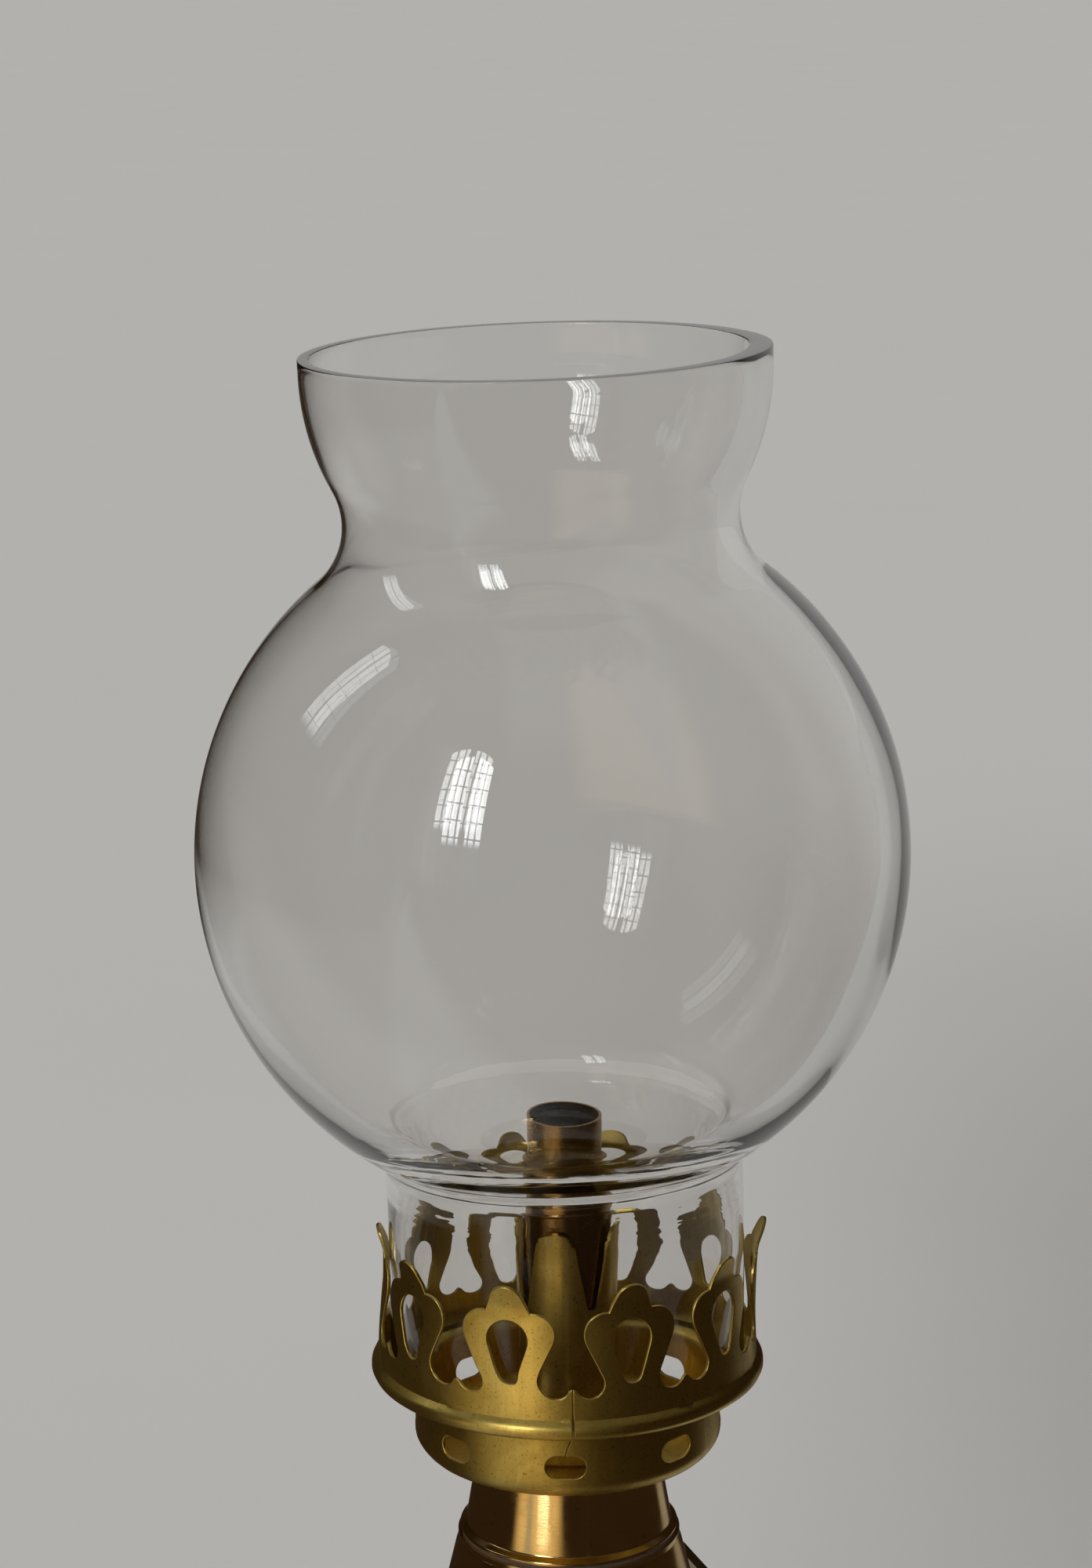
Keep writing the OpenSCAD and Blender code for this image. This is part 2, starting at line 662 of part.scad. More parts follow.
// Outline of one face of the globe, from its foot up to the rim: base, fillet, bulge, waist and neck
function globe_outline(base_r, fillet, mid, bulge_r, arc_r, waist_r, waist_arc, rim_r, neck_arc) =
    let (bulge_c = [bulge_r - arc_r, mid],
        fillet_r = base_r + fillet,
        fillet_c = [fillet_r, mid - sqrt(pow(arc_r + fillet, 2) - pow(fillet_r - bulge_c[0], 2))],
        waist_mid_r = waist_r + waist_arc,
        waist_c = [waist_mid_r, mid + sqrt(pow(arc_r + waist_arc, 2) - pow(waist_mid_r - bulge_c[0], 2))],
        neck_r = rim_r - neck_arc,
        neck_c = [neck_r, waist_c[1] + sqrt(pow(waist_arc + neck_arc, 2) - pow(waist_mid_r - neck_r, 2))],
        to_bulge = atan2(bulge_c[1] - fillet_c[1], bulge_c[0] - fillet_c[0]),
        from_bulge = atan2(waist_c[1] - bulge_c[1], waist_c[0] - bulge_c[0]),
        to_neck = atan2(neck_c[1] - waist_c[1], neck_c[0] - waist_c[0]))
    concat(
        arc(fillet_c, fillet, 180, to_bulge, 6),
        arc(bulge_c, arc_r, to_bulge - 180, from_bulge, 36),
        arc(waist_c, waist_arc, from_bulge + 180, to_neck, 10),
        arc(neck_c, neck_arc, to_neck - 180, 0, 8));

module globe() {
    outer = globe_outline(globe_base_r, globe_fillet_r, z_globe + globe_mid_z, globe_bulge_r, globe_arc_r,
        globe_waist_r, globe_waist_arc, globe_rim_r, globe_neck_arc);
    inner = globe_outline(globe_base_r - glass_wall, globe_fillet_r + glass_wall,
        z_globe + globe_mid_z + glass_lift, globe_bulge_r - glass_bulge_wall, globe_arc_r - glass_bulge_wall,
        globe_waist_r - glass_wall, globe_waist_arc + glass_wall, globe_rim_r - glass_wall,
        globe_neck_arc - glass_wall);
    lip_z = max(outer[len(outer) - 1][1], inner[len(inner) - 1][1]) + globe_lip_h;
    edge = 0.5;
    color("lightcyan", 0.35)
        rotate_extrude()
            polygon(concat(
                [[globe_base_r - edge, z_globe], [globe_base_r, z_globe + edge]],
                outer,
                arc([globe_rim_r - glass_wall / 2, lip_z], glass_wall / 2, 0, 180, 8),
                [for (i = [len(inner) - 1:-1:0]) inner[i]],
                [[globe_base_r - glass_wall, z_globe + edge], [globe_base_r - glass_wall + edge, z_globe]]));
}

foot_shell();
foot_plate();
ballast_disc();
foot_stud();
stud_nut();
font_shell();
font_pan();
neck_ring();
wadding();
handle();
seal_washer();
burner_cap();
thread_bush();
wick_tube();
regulator_sleeve();
wick_carrier();
drive_pin();
wick();
gallery_crown();
gallery_collet();
globe();
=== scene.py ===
"""Looks of a small spirit lamp: brass foot, font and clawed gallery, with a blown glass globe.

Shapes are worked out in millimetres round the lamp's axis and turned into metres as each mesh is made.
"""
import math
import random

import bpy
import numpy as np
from mathutils import Matrix, Vector, geometry, noise


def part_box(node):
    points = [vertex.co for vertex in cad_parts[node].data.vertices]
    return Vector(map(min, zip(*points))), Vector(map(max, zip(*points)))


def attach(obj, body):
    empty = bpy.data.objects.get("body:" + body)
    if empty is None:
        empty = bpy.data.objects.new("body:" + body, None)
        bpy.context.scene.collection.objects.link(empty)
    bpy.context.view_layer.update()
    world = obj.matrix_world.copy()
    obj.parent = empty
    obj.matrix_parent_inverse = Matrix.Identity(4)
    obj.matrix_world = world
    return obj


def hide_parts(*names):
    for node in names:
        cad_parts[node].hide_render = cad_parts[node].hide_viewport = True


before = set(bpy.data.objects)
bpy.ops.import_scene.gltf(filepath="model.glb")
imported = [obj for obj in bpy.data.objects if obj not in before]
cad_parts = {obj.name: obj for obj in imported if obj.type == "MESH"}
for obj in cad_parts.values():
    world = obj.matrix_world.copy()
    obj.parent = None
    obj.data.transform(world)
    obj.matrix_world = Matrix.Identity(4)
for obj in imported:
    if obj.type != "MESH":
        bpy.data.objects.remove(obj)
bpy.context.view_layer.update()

MM = 0.001


def span(node):
    """Lowest and highest corner of a CAD node, in millimetres."""
    low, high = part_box(node)
    return low / MM, high / MM


# Levels of the lamp, read from the frame
Z_FONT = span("font_shell")[0].z
Z_NECK = span("font_shell")[1].z
Z_CAP = span("burner_cap")[0].z
Z_TOP = span("burner_cap")[1].z
Z_TIP = span("gallery_crown")[1].z
Z_GLOBE = span("globe")[0].z
Z_RIM = span("globe")[1].z
Z_MOUTH = span("wick_tube")[1].z

# Directions round the axis, in degrees from the handle
CAMERA_DIR = -135.0
SEAM_DIR = -133.5
FINGER_DIR = -149.0

# The camera, as it stood when the photograph was taken
CAMERA_REACH = 410.0
CAMERA_Z = 270.3
CAMERA_PITCH = 13.57
CAMERA_YAW = 0.25
CAMERA_ROLL = 0.55
FOCAL_PIXELS = 4966.0
IMAGE_HEIGHT = 2000.0
SENSOR = 36.0
TOWARD_CAMERA = (math.cos(math.radians(CAMERA_DIR)), math.sin(math.radians(CAMERA_DIR)), 0.0)
TO_RIGHT = (-TOWARD_CAMERA[1], TOWARD_CAMERA[0], 0.0)
TO_LEFT = (TOWARD_CAMERA[1], -TOWARD_CAMERA[0], 0.0)


def arc(centre, radius, start, end, steps):
    """Points of an arc from angle start to angle end, in degrees."""
    return [
        (
            centre[0] + radius * math.cos(math.radians(start + (end - start) * i / steps)),
            centre[1] + radius * math.sin(math.radians(start + (end - start) * i / steps)),
        )
        for i in range(steps + 1)
    ]


def smooth(value, low, high):
    """0 below low, 1 above high, with a soft turn between."""
    t = min(1.0, max(0.0, (value - low) / (high - low)))
    return t * t * (3 - 2 * t)


def between(value, knots):
    """Soft interpolation through (place, amount) knots."""
    if value <= knots[0][0]:
        return knots[0][1]
    for (a, fa), (b, fb) in zip(knots, knots[1:]):
        if value <= b:
            return fa + (fb - fa) * smooth(value, a, b)
    return knots[-1][1]


def around(angle, radius, z):
    """A point in millimetres, from its direction in degrees, radius and height."""
    a = math.radians(angle)
    return (radius * math.cos(a), radius * math.sin(a), z)


def make_mesh(name, points, faces, sharp=40.0):
    """A mesh object in metres from points in millimetres, smooth but for edges sharper than that angle."""
    mesh = bpy.data.meshes.new(name)
    mesh.from_pydata([(x * MM, y * MM, z * MM) for x, y, z in points], [], faces)
    mesh.validate()
    mesh.shade_smooth()
    mesh.set_sharp_from_angle(angle=math.radians(sharp))
    obj = bpy.data.objects.new(name, mesh)
    bpy.context.scene.collection.objects.link(obj)
    return obj


def lathe(name, profile, segments, sharp, shape=around):
    """Turns a closed profile of (radius, z) round the axis; shape(angle, r, z) may move each point."""
    points = []
    rings = []
    for r, z in profile:
        if r < 1e-6:
            points.append((0.0, 0.0, z))
            rings.append([len(points) - 1] * segments)
            continue
        ring = []
        for k in range(segments):
            angle = 360.0 * k / segments
            points.append(shape(angle, r, z))
            ring.append(len(points) - 1)
        rings.append(ring)
    faces = []
    for i, ring in enumerate(rings):
        above = rings[(i + 1) % len(rings)]
        for k in range(segments):
            n = (k + 1) % segments
            face = [ring[k], ring[n], above[n], above[k]]
            face = [v for j, v in enumerate(face) if v not in face[:j]]
            if len(face) > 2:
                faces.append(face)
    return make_mesh(name, points, faces, sharp)


def dense(loop, step):
    """A closed outline with no edge longer than step."""
    out = []
    for p, q in zip(loop, loop[1:] + loop[:1]):
        n = max(1, math.ceil(math.dist(p, q) / step))
        out += [(p[0] + (q[0] - p[0]) * i / n, p[1] + (q[1] - p[1]) * i / n) for i in range(n)]
    return out


def crossings(points, loops):
    """For each point, True where it lies inside the first loop and outside the others."""
    inside = np.zeros(len(points), bool)
    x, y = points[:, 0], points[:, 1]
    for loop in loops:
        a = np.array(loop)
        b = np.roll(a, -1, axis=0)
        for (x0, y0), (x1, y1) in zip(a, b):
            if y0 != y1:
                hit = ((y0 > y) != (y1 > y)) & (x < (x1 - x0) * (y - y0) / (y1 - y0) + x0)
                inside ^= hit
    return inside


def fill(loops, step):
    """Fills a flat outline, with any holes after it, by triangles about one step across."""
    points = []
    edges = []
    for loop in loops:
        first = len(points)
        points += loop
        edges += [(first + i, first + (i + 1) % len(loop)) for i in range(len(loop))]
    rim = np.array(points)
    low, high = rim.min(0), rim.max(0)
    grid = np.array([
        (low[0] + (i + 0.5 * (j % 2)) * step, low[1] + j * step * 0.87)
        for j in range(1, int((high[1] - low[1]) / (step * 0.87)))
        for i in range(1, int((high[0] - low[0]) / step))
    ])
    near = np.array([np.min(np.hypot(*(rim - p).T)) for p in grid])
    grid = grid[(near > 0.6 * step) & crossings(grid, loops)]
    every = [Vector(p) for p in points] + [Vector(p) for p in grid]
    flat, _, triangles = geometry.delaunay_2d_cdt(every, edges, [], 0, 1e-7)[:3]
    flat = [tuple(p) for p in flat]
    middles = np.array([[sum(flat[v][k] for v in t) / 3 for k in (0, 1)] for t in triangles])
    keep = crossings(middles, loops)
    return flat, [t for t, k in zip(triangles, keep) if k]


class Path:
    """The outer face of a sheet as a line in (radius, z), measured along its length."""

    def __init__(self, points):
        self.points = points
        self.at = [0.0]
        for p, q in zip(points, points[1:]):
            self.at.append(self.at[-1] + math.dist(p, q))

    def place(self, s):
        """(radius, z) and the outward normal at length s."""
        k = min(max(np.searchsorted(self.at, s) - 1, 0), len(self.points) - 2)
        t = (s - self.at[k]) / (self.at[k + 1] - self.at[k])
        p, q = self.points[k], self.points[k + 1]
        here = self.normal(k)
        after = self.normal(k + 1)
        n = (here[0] + (after[0] - here[0]) * t, here[1] + (after[1] - here[1]) * t)
        size = math.hypot(*n)
        return p[0] + (q[0] - p[0]) * t, p[1] + (q[1] - p[1]) * t, n[0] / size, n[1] / size

    def normal(self, k):
        p, q = self.points[max(k - 1, 0)], self.points[min(k + 1, len(self.points) - 1)]
        size = math.dist(p, q)
        return ((q[1] - p[1]) / size, (p[0] - q[0]) / size)

    def length_of_z(self, z, after):
        """Length at which the path, past a first length, reaches height z."""
        for k in range(len(self.points) - 1):
            if self.at[k] >= after and self.points[k][1] <= z <= self.points[k + 1][1]:
                p, q = self.points[k], self.points[k + 1]
                return self.at[k] + (z - p[1]) / (q[1] - p[1]) * (self.at[k + 1] - self.at[k])
        return self.at[-1]


# Sheet pieces: the spacing of their points, and millimetres per degree in their flat outlines
SHEET_STEP = 0.5
DEGREE_MM = 0.36


def sheet_metal(name, zones, place, thickness, slit, edge):
    """A thin sheet from flat zones that repeat round the axis.

    Each zone is (loops in (degrees times DEGREE_MM, length), copies). place(angle, length, depth) gives the
    point; slit(length) says where the sheet stays open at angle 0."""
    points = []
    index = {}
    faces = []

    def corner(angle, s):
        if abs(angle - 360) < 1e-4 and not slit(s):
            angle = 0.0
        key = (round(angle, 3), round(s, 3))
        if key not in index:
            index[key] = len(points)
            points.append((angle, s))
        return index[key]

    for loops, copies in zones:
        flat, triangles = fill(loops, SHEET_STEP)
        for k in range(copies):
            here = [corner(u / DEGREE_MM + k * 360.0 / copies, s) for u, s in flat]
            faces += [tuple(here[v] for v in t) for t in triangles]
    count = len(points)
    used = {}
    for a, b, c in faces:
        for e in ((a, b), (b, c), (c, a)):
            used[frozenset(e)] = used.get(frozenset(e), 0) + 1
    walls = [
        (b, a, a + count, b + count)
        for f in faces
        for a, b in zip(f, f[1:] + f[:1])
        if used[frozenset((a, b))] == 1
    ]
    inner = [(c + count, b + count, a + count) for a, b, c in faces]
    space = [place(a, s, 0.0) for a, s in points] + [place(a, s, thickness) for a, s in points]
    obj = make_mesh(name, space, list(faces) + inner + walls)
    bevel = obj.modifiers.new("worn_edge", "BEVEL")
    bevel.width = edge * MM
    bevel.segments = 2
    bevel.limit_method = "ANGLE"
    bevel.angle_limit = math.radians(50)
    return obj


# Light Path counts two transmissions after the near wall of the glass, and four after both walls
NEAR_WALL = 2.5
# From where to where the dim room fades in, by the cosine of the angle from the camera's direction
IN_METAL = (-1.0, -0.97)
ON_GLASS = (-0.6, -0.3)
BEHIND_GLASS = (-0.6, -0.2)
IN_GLASS = (0.55, 0.85)
# The same for the room's dark corner, by the cosine of the angle from the photograph's left
IN_CORNER = (0.17, 0.25)


class Nodes:
    """Short calls for building a material's node tree."""

    def __init__(self, name, world=False):
        self.material = (bpy.data.worlds if world else bpy.data.materials).new(name)
        self.material.use_nodes = True
        self.tree = self.material.node_tree
        self.tree.nodes.clear()
        self.out = self.tree.nodes.new("ShaderNodeOutputWorld" if world else "ShaderNodeOutputMaterial")

    def add(self, kind, **settings):
        made = self.tree.nodes.new("ShaderNode" + kind)
        for key, value in settings.items():
            setattr(made, key, value)
        return made

    def put(self, socket, value):
        if isinstance(value, bpy.types.NodeSocket):
            self.tree.links.new(value, socket)
        else:
            socket.default_value = value

    def math(self, operation, *values):
        made = self.add("Math", operation=operation)
        for socket, value in zip(made.inputs, values):
            self.put(socket, value)
        return made.outputs[0]

    def mix(self, factor, first, second):
        made = self.add("Mix", data_type="RGBA")
        self.put(made.inputs[0], factor)
        self.put(made.inputs[6], first)
        self.put(made.inputs[7], second)
        return made.outputs[2]

    def ramp(self, value, low, high, to_low=0.0, to_high=1.0):
        """A soft step from to_low to to_high, as the value goes from low to high."""
        made = self.add("MapRange", interpolation_type="SMOOTHSTEP")
        for socket, amount in zip(made.inputs, (value, low, high, to_low, to_high)):
            self.put(socket, amount)
        return made.outputs[0]

    def noise(self, vector, scale, detail=3.0, roughness=0.5, distortion=0.0):
        made = self.add("TexNoise")
        self.put(made.inputs["Vector"], vector)
        self.put(made.inputs["Scale"], scale)
        self.put(made.inputs["Detail"], detail)
        self.put(made.inputs["Roughness"], roughness)
        self.put(made.inputs["Distortion"], distortion)
        return made.outputs[0]

    def object_place(self):
        return self.add("TexCoord").outputs["Object"]

    def dot(self, vector, direction):
        made = self.add("VectorMath", operation="DOT_PRODUCT")
        self.put(made.inputs[0], vector)
        self.put(made.inputs[1], direction)
        return made.outputs["Value"]

    def stretched(self, vector, x, y, z):
        made = self.add("VectorMath", operation="MULTIPLY")
        self.put(made.inputs[0], vector)
        self.put(made.inputs[1], (x, y, z))
        return made.outputs[0]

    def ray(self, kind):
        """1 for rays of that kind: Diffuse, Singular or Transmission."""
        return self.add("LightPath").outputs["Is " + kind + " Ray"]

    def times(self, first, second):
        return self.math("MULTIPLY", first, second)

    def no(self, value):
        return self.math("SUBTRACT", 1.0, value)

    def before_far_wall(self):
        """1 for what has passed no more than the near wall of the glass."""
        return self.math("LESS_THAN", self.add("LightPath").outputs["Transmission Depth"], NEAR_WALL)

    def bent(self):
        """1 for what shows through the near wall of the glass alone, as along its edges."""
        return self.times(self.ray("Transmission"), self.before_far_wall())

    def reflected(self):
        """1 for what metal or glass has mirrored on its way, but not for the light on a dull surface."""
        reflected = self.math("GREATER_THAN", self.add("LightPath").outputs["Glossy Depth"], 0.5)
        return self.times(reflected, self.no(self.ray("Diffuse")))

    def dim(self, direction, corner=1.0):
        """How far the dim room shows that way: nearly all round in metal, less in and behind glass.

        Its dark corner shows in the glass's left edge, by the share that corner gives."""
        toward = self.dot(direction, TOWARD_CAMERA)
        metal, on_glass = self.ramp(toward, *IN_METAL), self.ramp(toward, *ON_GLASS)
        behind_glass, in_glass = self.ramp(toward, *BEHIND_GLASS), self.ramp(toward, *IN_GLASS)
        mirrored = self.ramp(self.ray("Singular"), 0.0, 1.0, metal, on_glass)
        through = self.ramp(self.bent(), 0.0, 1.0, behind_glass, in_glass)
        room = self.ramp(self.ray("Transmission"), 0.0, 1.0, mirrored, through)
        corner = self.times(self.before_far_wall(), corner)
        corner = self.times(self.ramp(self.dot(direction, TO_LEFT), *IN_CORNER), corner)
        return self.times(self.reflected(), self.math("MAXIMUM", room, corner))

    def emit(self, colour, strength):
        light = self.add("Emission")
        self.put(light.inputs["Color"], colour)
        self.put(light.inputs["Strength"], strength)
        self.put(self.out.inputs["Surface"], light.outputs[0])
        return self.material

    def wrapped(self, across, up):
        """A coordinate that runs across times round the axis and up times along it, with no seam."""
        split = self.add("SeparateXYZ")
        self.put(split.inputs[0], self.object_place())
        x, y, z = split.outputs
        r = self.math("SQRT", self.math("ADD", self.times(x, x), self.times(y, y)))
        r = self.math("MAXIMUM", r, 1e-5)
        made = self.add("CombineXYZ")
        self.put(made.inputs[0], self.times(self.math("DIVIDE", x, r), across))
        self.put(made.inputs[1], self.times(self.math("DIVIDE", y, r), across))
        self.put(made.inputs[2], self.times(z, up))
        return made.outputs[0]

    def bump(self, height, strength, distance, after=None):
        made = self.add("Bump")
        self.put(made.inputs["Strength"], strength)
        self.put(made.inputs["Distance"], distance)
        self.put(made.inputs["Height"], height)
        if after is not None:
            self.put(made.inputs["Normal"], after)
        return made.outputs[0]

    def finish(self, **sockets):
        shader = self.add("BsdfPrincipled")
        for key, value in sockets.items():
            self.put(shader.inputs[key.replace("_", " ")], value)
        self.put(self.out.inputs["Surface"], shader.outputs[0])
        return self.material


def rgb(r, g, b):
    return (r, g, b, 1.0)


def brass(name, bright, dull, dark, gloss, tarnish, brush, brush_up, pitted=0.15):
    """Brass with a brushed grain, patches of tarnish, small dark spots and bright worn edges."""
    n = Nodes(name)
    place = n.object_place()
    patches = n.ramp(n.noise(place, 95.0, 4.0, 0.6, 0.6), 0.38, 0.66)
    fine = n.noise(place, 900.0, 3.0, 0.6)
    pits = n.ramp(n.noise(place, 3600.0, 2.0, 0.6), 0.56, 0.74)
    spots = n.ramp(n.noise(place, 1500.0, 2.0, 0.5), 0.68, 0.76)
    grain = n.noise(n.wrapped(brush, brush_up), 1.0, 4.0, 0.65)
    worn = n.ramp(n.add("NewGeometry").outputs["Pointiness"], 0.52, 0.60)
    tone = n.mix(n.times(patches, tarnish), bright, dull)
    tone = n.mix(n.times(n.ramp(grain, 0.35, 0.7), 0.35), tone, dull)
    tone = n.mix(n.times(spots, 0.55), tone, dark)
    tone = n.mix(n.times(pits, pitted), tone, dark)
    tone = n.mix(n.times(worn, 0.5), tone, bright)
    rough = n.math("ADD", n.times(patches, 0.10), gloss)
    rough = n.math("ADD", rough, n.times(n.math("SUBTRACT", grain, 0.5), 0.16))
    rough = n.math("ADD", rough, n.times(n.math("SUBTRACT", fine, 0.5), 0.05))
    normal = n.bump(grain, 0.12, 0.00004)
    normal = n.bump(fine, 0.08, 0.00003, normal)
    return n.finish(Base_Color=tone, Metallic=1.0, Roughness=rough, Normal=normal)


# Heights above the globe's foot between which its ripples fade in, and between which they fade out
RIPPLES_FROM = (19.0, 21.5)
RIPPLES_TO = (28.0, 32.0)
# How rough the film on the glass is at most: with more, its rays would no longer count as singular
FILM_ROUGHNESS = 0.002


def clear_glass():
    """Blown glass: clear, a little uneven, and rippled where the bulge joins the base."""
    n = Nodes("clear_glass")
    place = n.object_place()
    film = n.ramp(n.noise(place, 60.0, 5.0, 0.6, 0.3), 0.45, 0.8)
    rough = n.times(film, FILM_ROUGHNESS)
    normal = n.bump(n.noise(place, 30.0, 1.0, 0.3), 0.02, 0.0003)
    height = n.dot(place, (0, 0, 1 / MM))
    begun = n.ramp(height, *(Z_GLOBE + z for z in RIPPLES_FROM))
    left = n.ramp(height, *(Z_GLOBE + z for z in RIPPLES_TO), 1.0, 0.0)
    ripples = n.noise(n.stretched(place, 110.0, 110.0, 700.0), 1.0, 2.0, 0.5)
    normal = n.bump(n.times(ripples, n.times(begun, left)), 0.16, 0.0003, normal)
    return n.finish(Base_Color=rgb(0.945, 0.937, 0.925), Transmission_Weight=1.0, IOR=1.47, Roughness=rough,
                    Normal=normal)


def charred_cotton():
    """Burnt wick: black and crumbly at the top, scorched brown cotton below."""
    n = Nodes("charred_cotton")
    place = n.object_place()
    fibres = n.noise(place, 1900.0, 4.0, 0.7, 1.0)
    lumps = n.noise(place, 700.0, 3.0, 0.6)
    split = n.add("SeparateXYZ")
    n.put(split.inputs[0], place)
    burnt = n.ramp(split.outputs[2], (Z_MOUTH - 9) * MM, (Z_MOUTH - 3) * MM)
    cotton = n.mix(fibres, rgb(0.50, 0.42, 0.30), rgb(0.70, 0.62, 0.48))
    ash = n.mix(n.ramp(lumps, 0.45, 0.75), rgb(0.002, 0.002, 0.002), rgb(0.011, 0.010, 0.009))
    tone = n.mix(burnt, cotton, ash)
    normal = n.bump(fibres, 0.9, 0.0002, n.bump(lumps, 0.7, 0.0004))
    return n.finish(Base_Color=tone, Roughness=0.95, Normal=normal)


def loose_cotton():
    n = Nodes("loose_cotton")
    place = n.object_place()
    tufts = n.noise(place, 240.0, 6.0, 0.7, 1.4)
    tone = n.mix(tufts, rgb(0.66, 0.61, 0.50), rgb(0.90, 0.87, 0.79))
    return n.finish(Base_Color=tone, Roughness=1.0, Normal=n.bump(tufts, 0.8, 0.0008))


def washer_leather():
    n = Nodes("washer_leather")
    place = n.object_place()
    pores = n.noise(place, 1100.0, 4.0, 0.6, 0.4)
    tone = n.mix(pores, rgb(0.035, 0.022, 0.014), rgb(0.12, 0.075, 0.045))
    return n.finish(Base_Color=tone, Roughness=n.ramp(pores, 0.2, 0.8, 0.45, 0.75),
                    Normal=n.bump(pores, 0.6, 0.0001))


def rough_iron():
    n = Nodes("rough_iron")
    place = n.object_place()
    skin = n.noise(place, 420.0, 5.0, 0.65, 0.3)
    rust = n.ramp(n.noise(place, 90.0, 4.0, 0.6), 0.52, 0.7)
    tone = n.mix(rust, rgb(0.055, 0.053, 0.052), rgb(0.20, 0.085, 0.035))
    return n.finish(Base_Color=tone, Metallic=n.math("SUBTRACT", 0.8, n.times(rust, 0.7)),
                    Roughness=n.ramp(skin, 0.2, 0.8, 0.55, 0.8), Normal=n.bump(skin, 0.7, 0.0003))


def turned_steel():
    n = Nodes("turned_steel")
    grain = n.noise(n.wrapped(3.0, 9000.0), 1.0, 3.0, 0.6)
    tone = n.mix(grain, rgb(0.42, 0.42, 0.43), rgb(0.60, 0.60, 0.61))
    return n.finish(Base_Color=tone, Metallic=1.0, Roughness=n.ramp(grain, 0.2, 0.8, 0.25, 0.42),
                    Normal=n.bump(grain, 0.2, 0.00004))


def dress(obj, material):
    """Gives an object that one material."""
    obj.data.materials.clear()
    obj.data.materials.append(material)
    for face in obj.data.polygons:
        face.material_index = 0
    return obj


# The gallery's crown: one strip of sheet brass, bent to a bowl, a ledge, a bead and ten claws
CROWN_SHEET = 0.4
BOWL_R = 17.2
BOWL_CORNER = 2.6
BOWL_HOLES = 8
BOWL_HOLE = (4.5, 2.6)
BOWL_HOLE_Z = 4.5
BEAD_R = 1.07
BEAD_REACH = 21.97
LEDGE_Z = Z_GLOBE - CROWN_SHEET
WALL_Z = LEDGE_Z + 1.9 * BEAD_R
WALL_LOW_R = 21.2
GRIP_R = 20.6
TIP_R = 21.4
CLAWS = 10
# How much of the sheet's length lies safely below the wall, so that a height on the wall is found above it
BOWL_SHARE = 0.4
COLLET_R = 5.4
# The claws' outline, measured from the top of the bead
LOBE_R = 1.6
LOBE_GAP = 3.5
LOBE_Z = 2.65
LOBE_PEAK = 1.05
CLAW_W = 10.3
SHOULDER_R = 2.4
SHOULDER_Z = 9.7
KNOB_R = 1.75
KNOB_FOOT = 2.4
TIP_BEND_R = 1.6
TIP_BEND_H = 2.7
PEAR_R = 2.25
PEAR_LOW_R = 1.05
PEAR_Z = 8.9
PEAR_LEN = 3.85
# What use has done to single claws: degrees that they are bent round the axis, and millimetres outward
CLAW_TURNS = {9: -1.7, 8: -2.0}
CLAW_LEANS = {2: 1.0, 7: -0.25}
# The open seam, and how far the bowl's air holes are turned and sunk against it
SEAM_GAP = 0.02
SEAM_GAP_BEAD = 0.075
HOLE_TURN = -2.5
HOLE_SINK = 0.3


def crown_path():
    """The crown's outer face from the collet out to the bowl's corner, ledge and bead, and up to the tips.

    Gives the path, and how many of its points lie before the bead."""
    fillet = 0.9
    lean = math.degrees(math.atan2(TIP_R - GRIP_R, TIP_BEND_H - 0.3))
    corner = (BOWL_R - BOWL_CORNER, Z_TOP + BOWL_CORNER)
    bead = (BEAD_REACH - BEAD_R, LEDGE_Z + BEAD_R)
    floor = [(COLLET_R + 0.05, Z_TOP), (11.0, Z_TOP)]
    bowl = arc(corner, BOWL_CORNER, -90, 0, 14)
    ledge = arc((BOWL_R + fillet, LEDGE_Z - fillet), fillet, 180, 90, 8)
    roll = arc(bead, BEAD_R, -90, 75, 24)
    wall = [(WALL_LOW_R, WALL_Z + 0.35), (WALL_LOW_R - 0.02, WALL_Z + 1.2), (WALL_LOW_R - 0.08, WALL_Z + 2.6),
            (GRIP_R + 0.12, Z_TIP - 6.0), (GRIP_R, Z_TIP - 4.2)]
    tips = arc((GRIP_R + TIP_BEND_R, Z_TIP - TIP_BEND_H), TIP_BEND_R, 180, 180 - lean, 4) + [(TIP_R, Z_TIP)]
    return Path(floor + bowl + ledge + roll + wall + tips), len(floor + bowl + ledge)


def on_wall(path, across, z, turn=0.0):
    """Where a point of the claws' wall lies in their flat outline, from its way across and its height."""
    angle = turn + math.degrees(math.asin(across / GRIP_R))
    return (angle * DEGREE_MM, path.length_of_z(z, path.at[-1] * BOWL_SHARE))


def claw_outline(path, pitch, low):
    """One claw's sector, from the middle of one cut-out to the middle of the next, as a flat loop."""
    half = GRIP_R * math.sin(math.radians(pitch / 2))
    lobe = (LOBE_GAP / 2, WALL_Z + LOBE_Z + LOBE_R)
    shoulder = (half - CLAW_W / 2 + SHOULDER_R, WALL_Z + SHOULDER_Z)
    knob = (half, Z_TIP - KNOB_R)
    gap = (shoulder[0] - lobe[0], shoulder[1] - lobe[1])
    lean = math.degrees(math.atan2(gap[1], gap[0]) - math.acos((LOBE_R + SHOULDER_R) / math.hypot(*gap)))
    to_knob = math.degrees(math.acos((half - KNOB_FOOT - shoulder[0]) / SHOULDER_R))
    left = (
        [(0.0, lobe[1] - LOBE_R + LOBE_PEAK)]
        + arc(lobe, LOBE_R, 208, 360 + lean, 16)
        + arc(shoulder, SHOULDER_R, 180 + lean, to_knob, 12)
        + arc(knob, KNOB_R, 160, 96, 8)
        + [(half, Z_TIP)]
    )
    left = [on_wall(path, *p) for p in left]
    width = pitch * DEGREE_MM
    right = [(width - u, s) for u, s in reversed(left[:-1])]
    base = [(width * i / 32, low) for i in range(33)]
    return base + list(reversed(left + right))


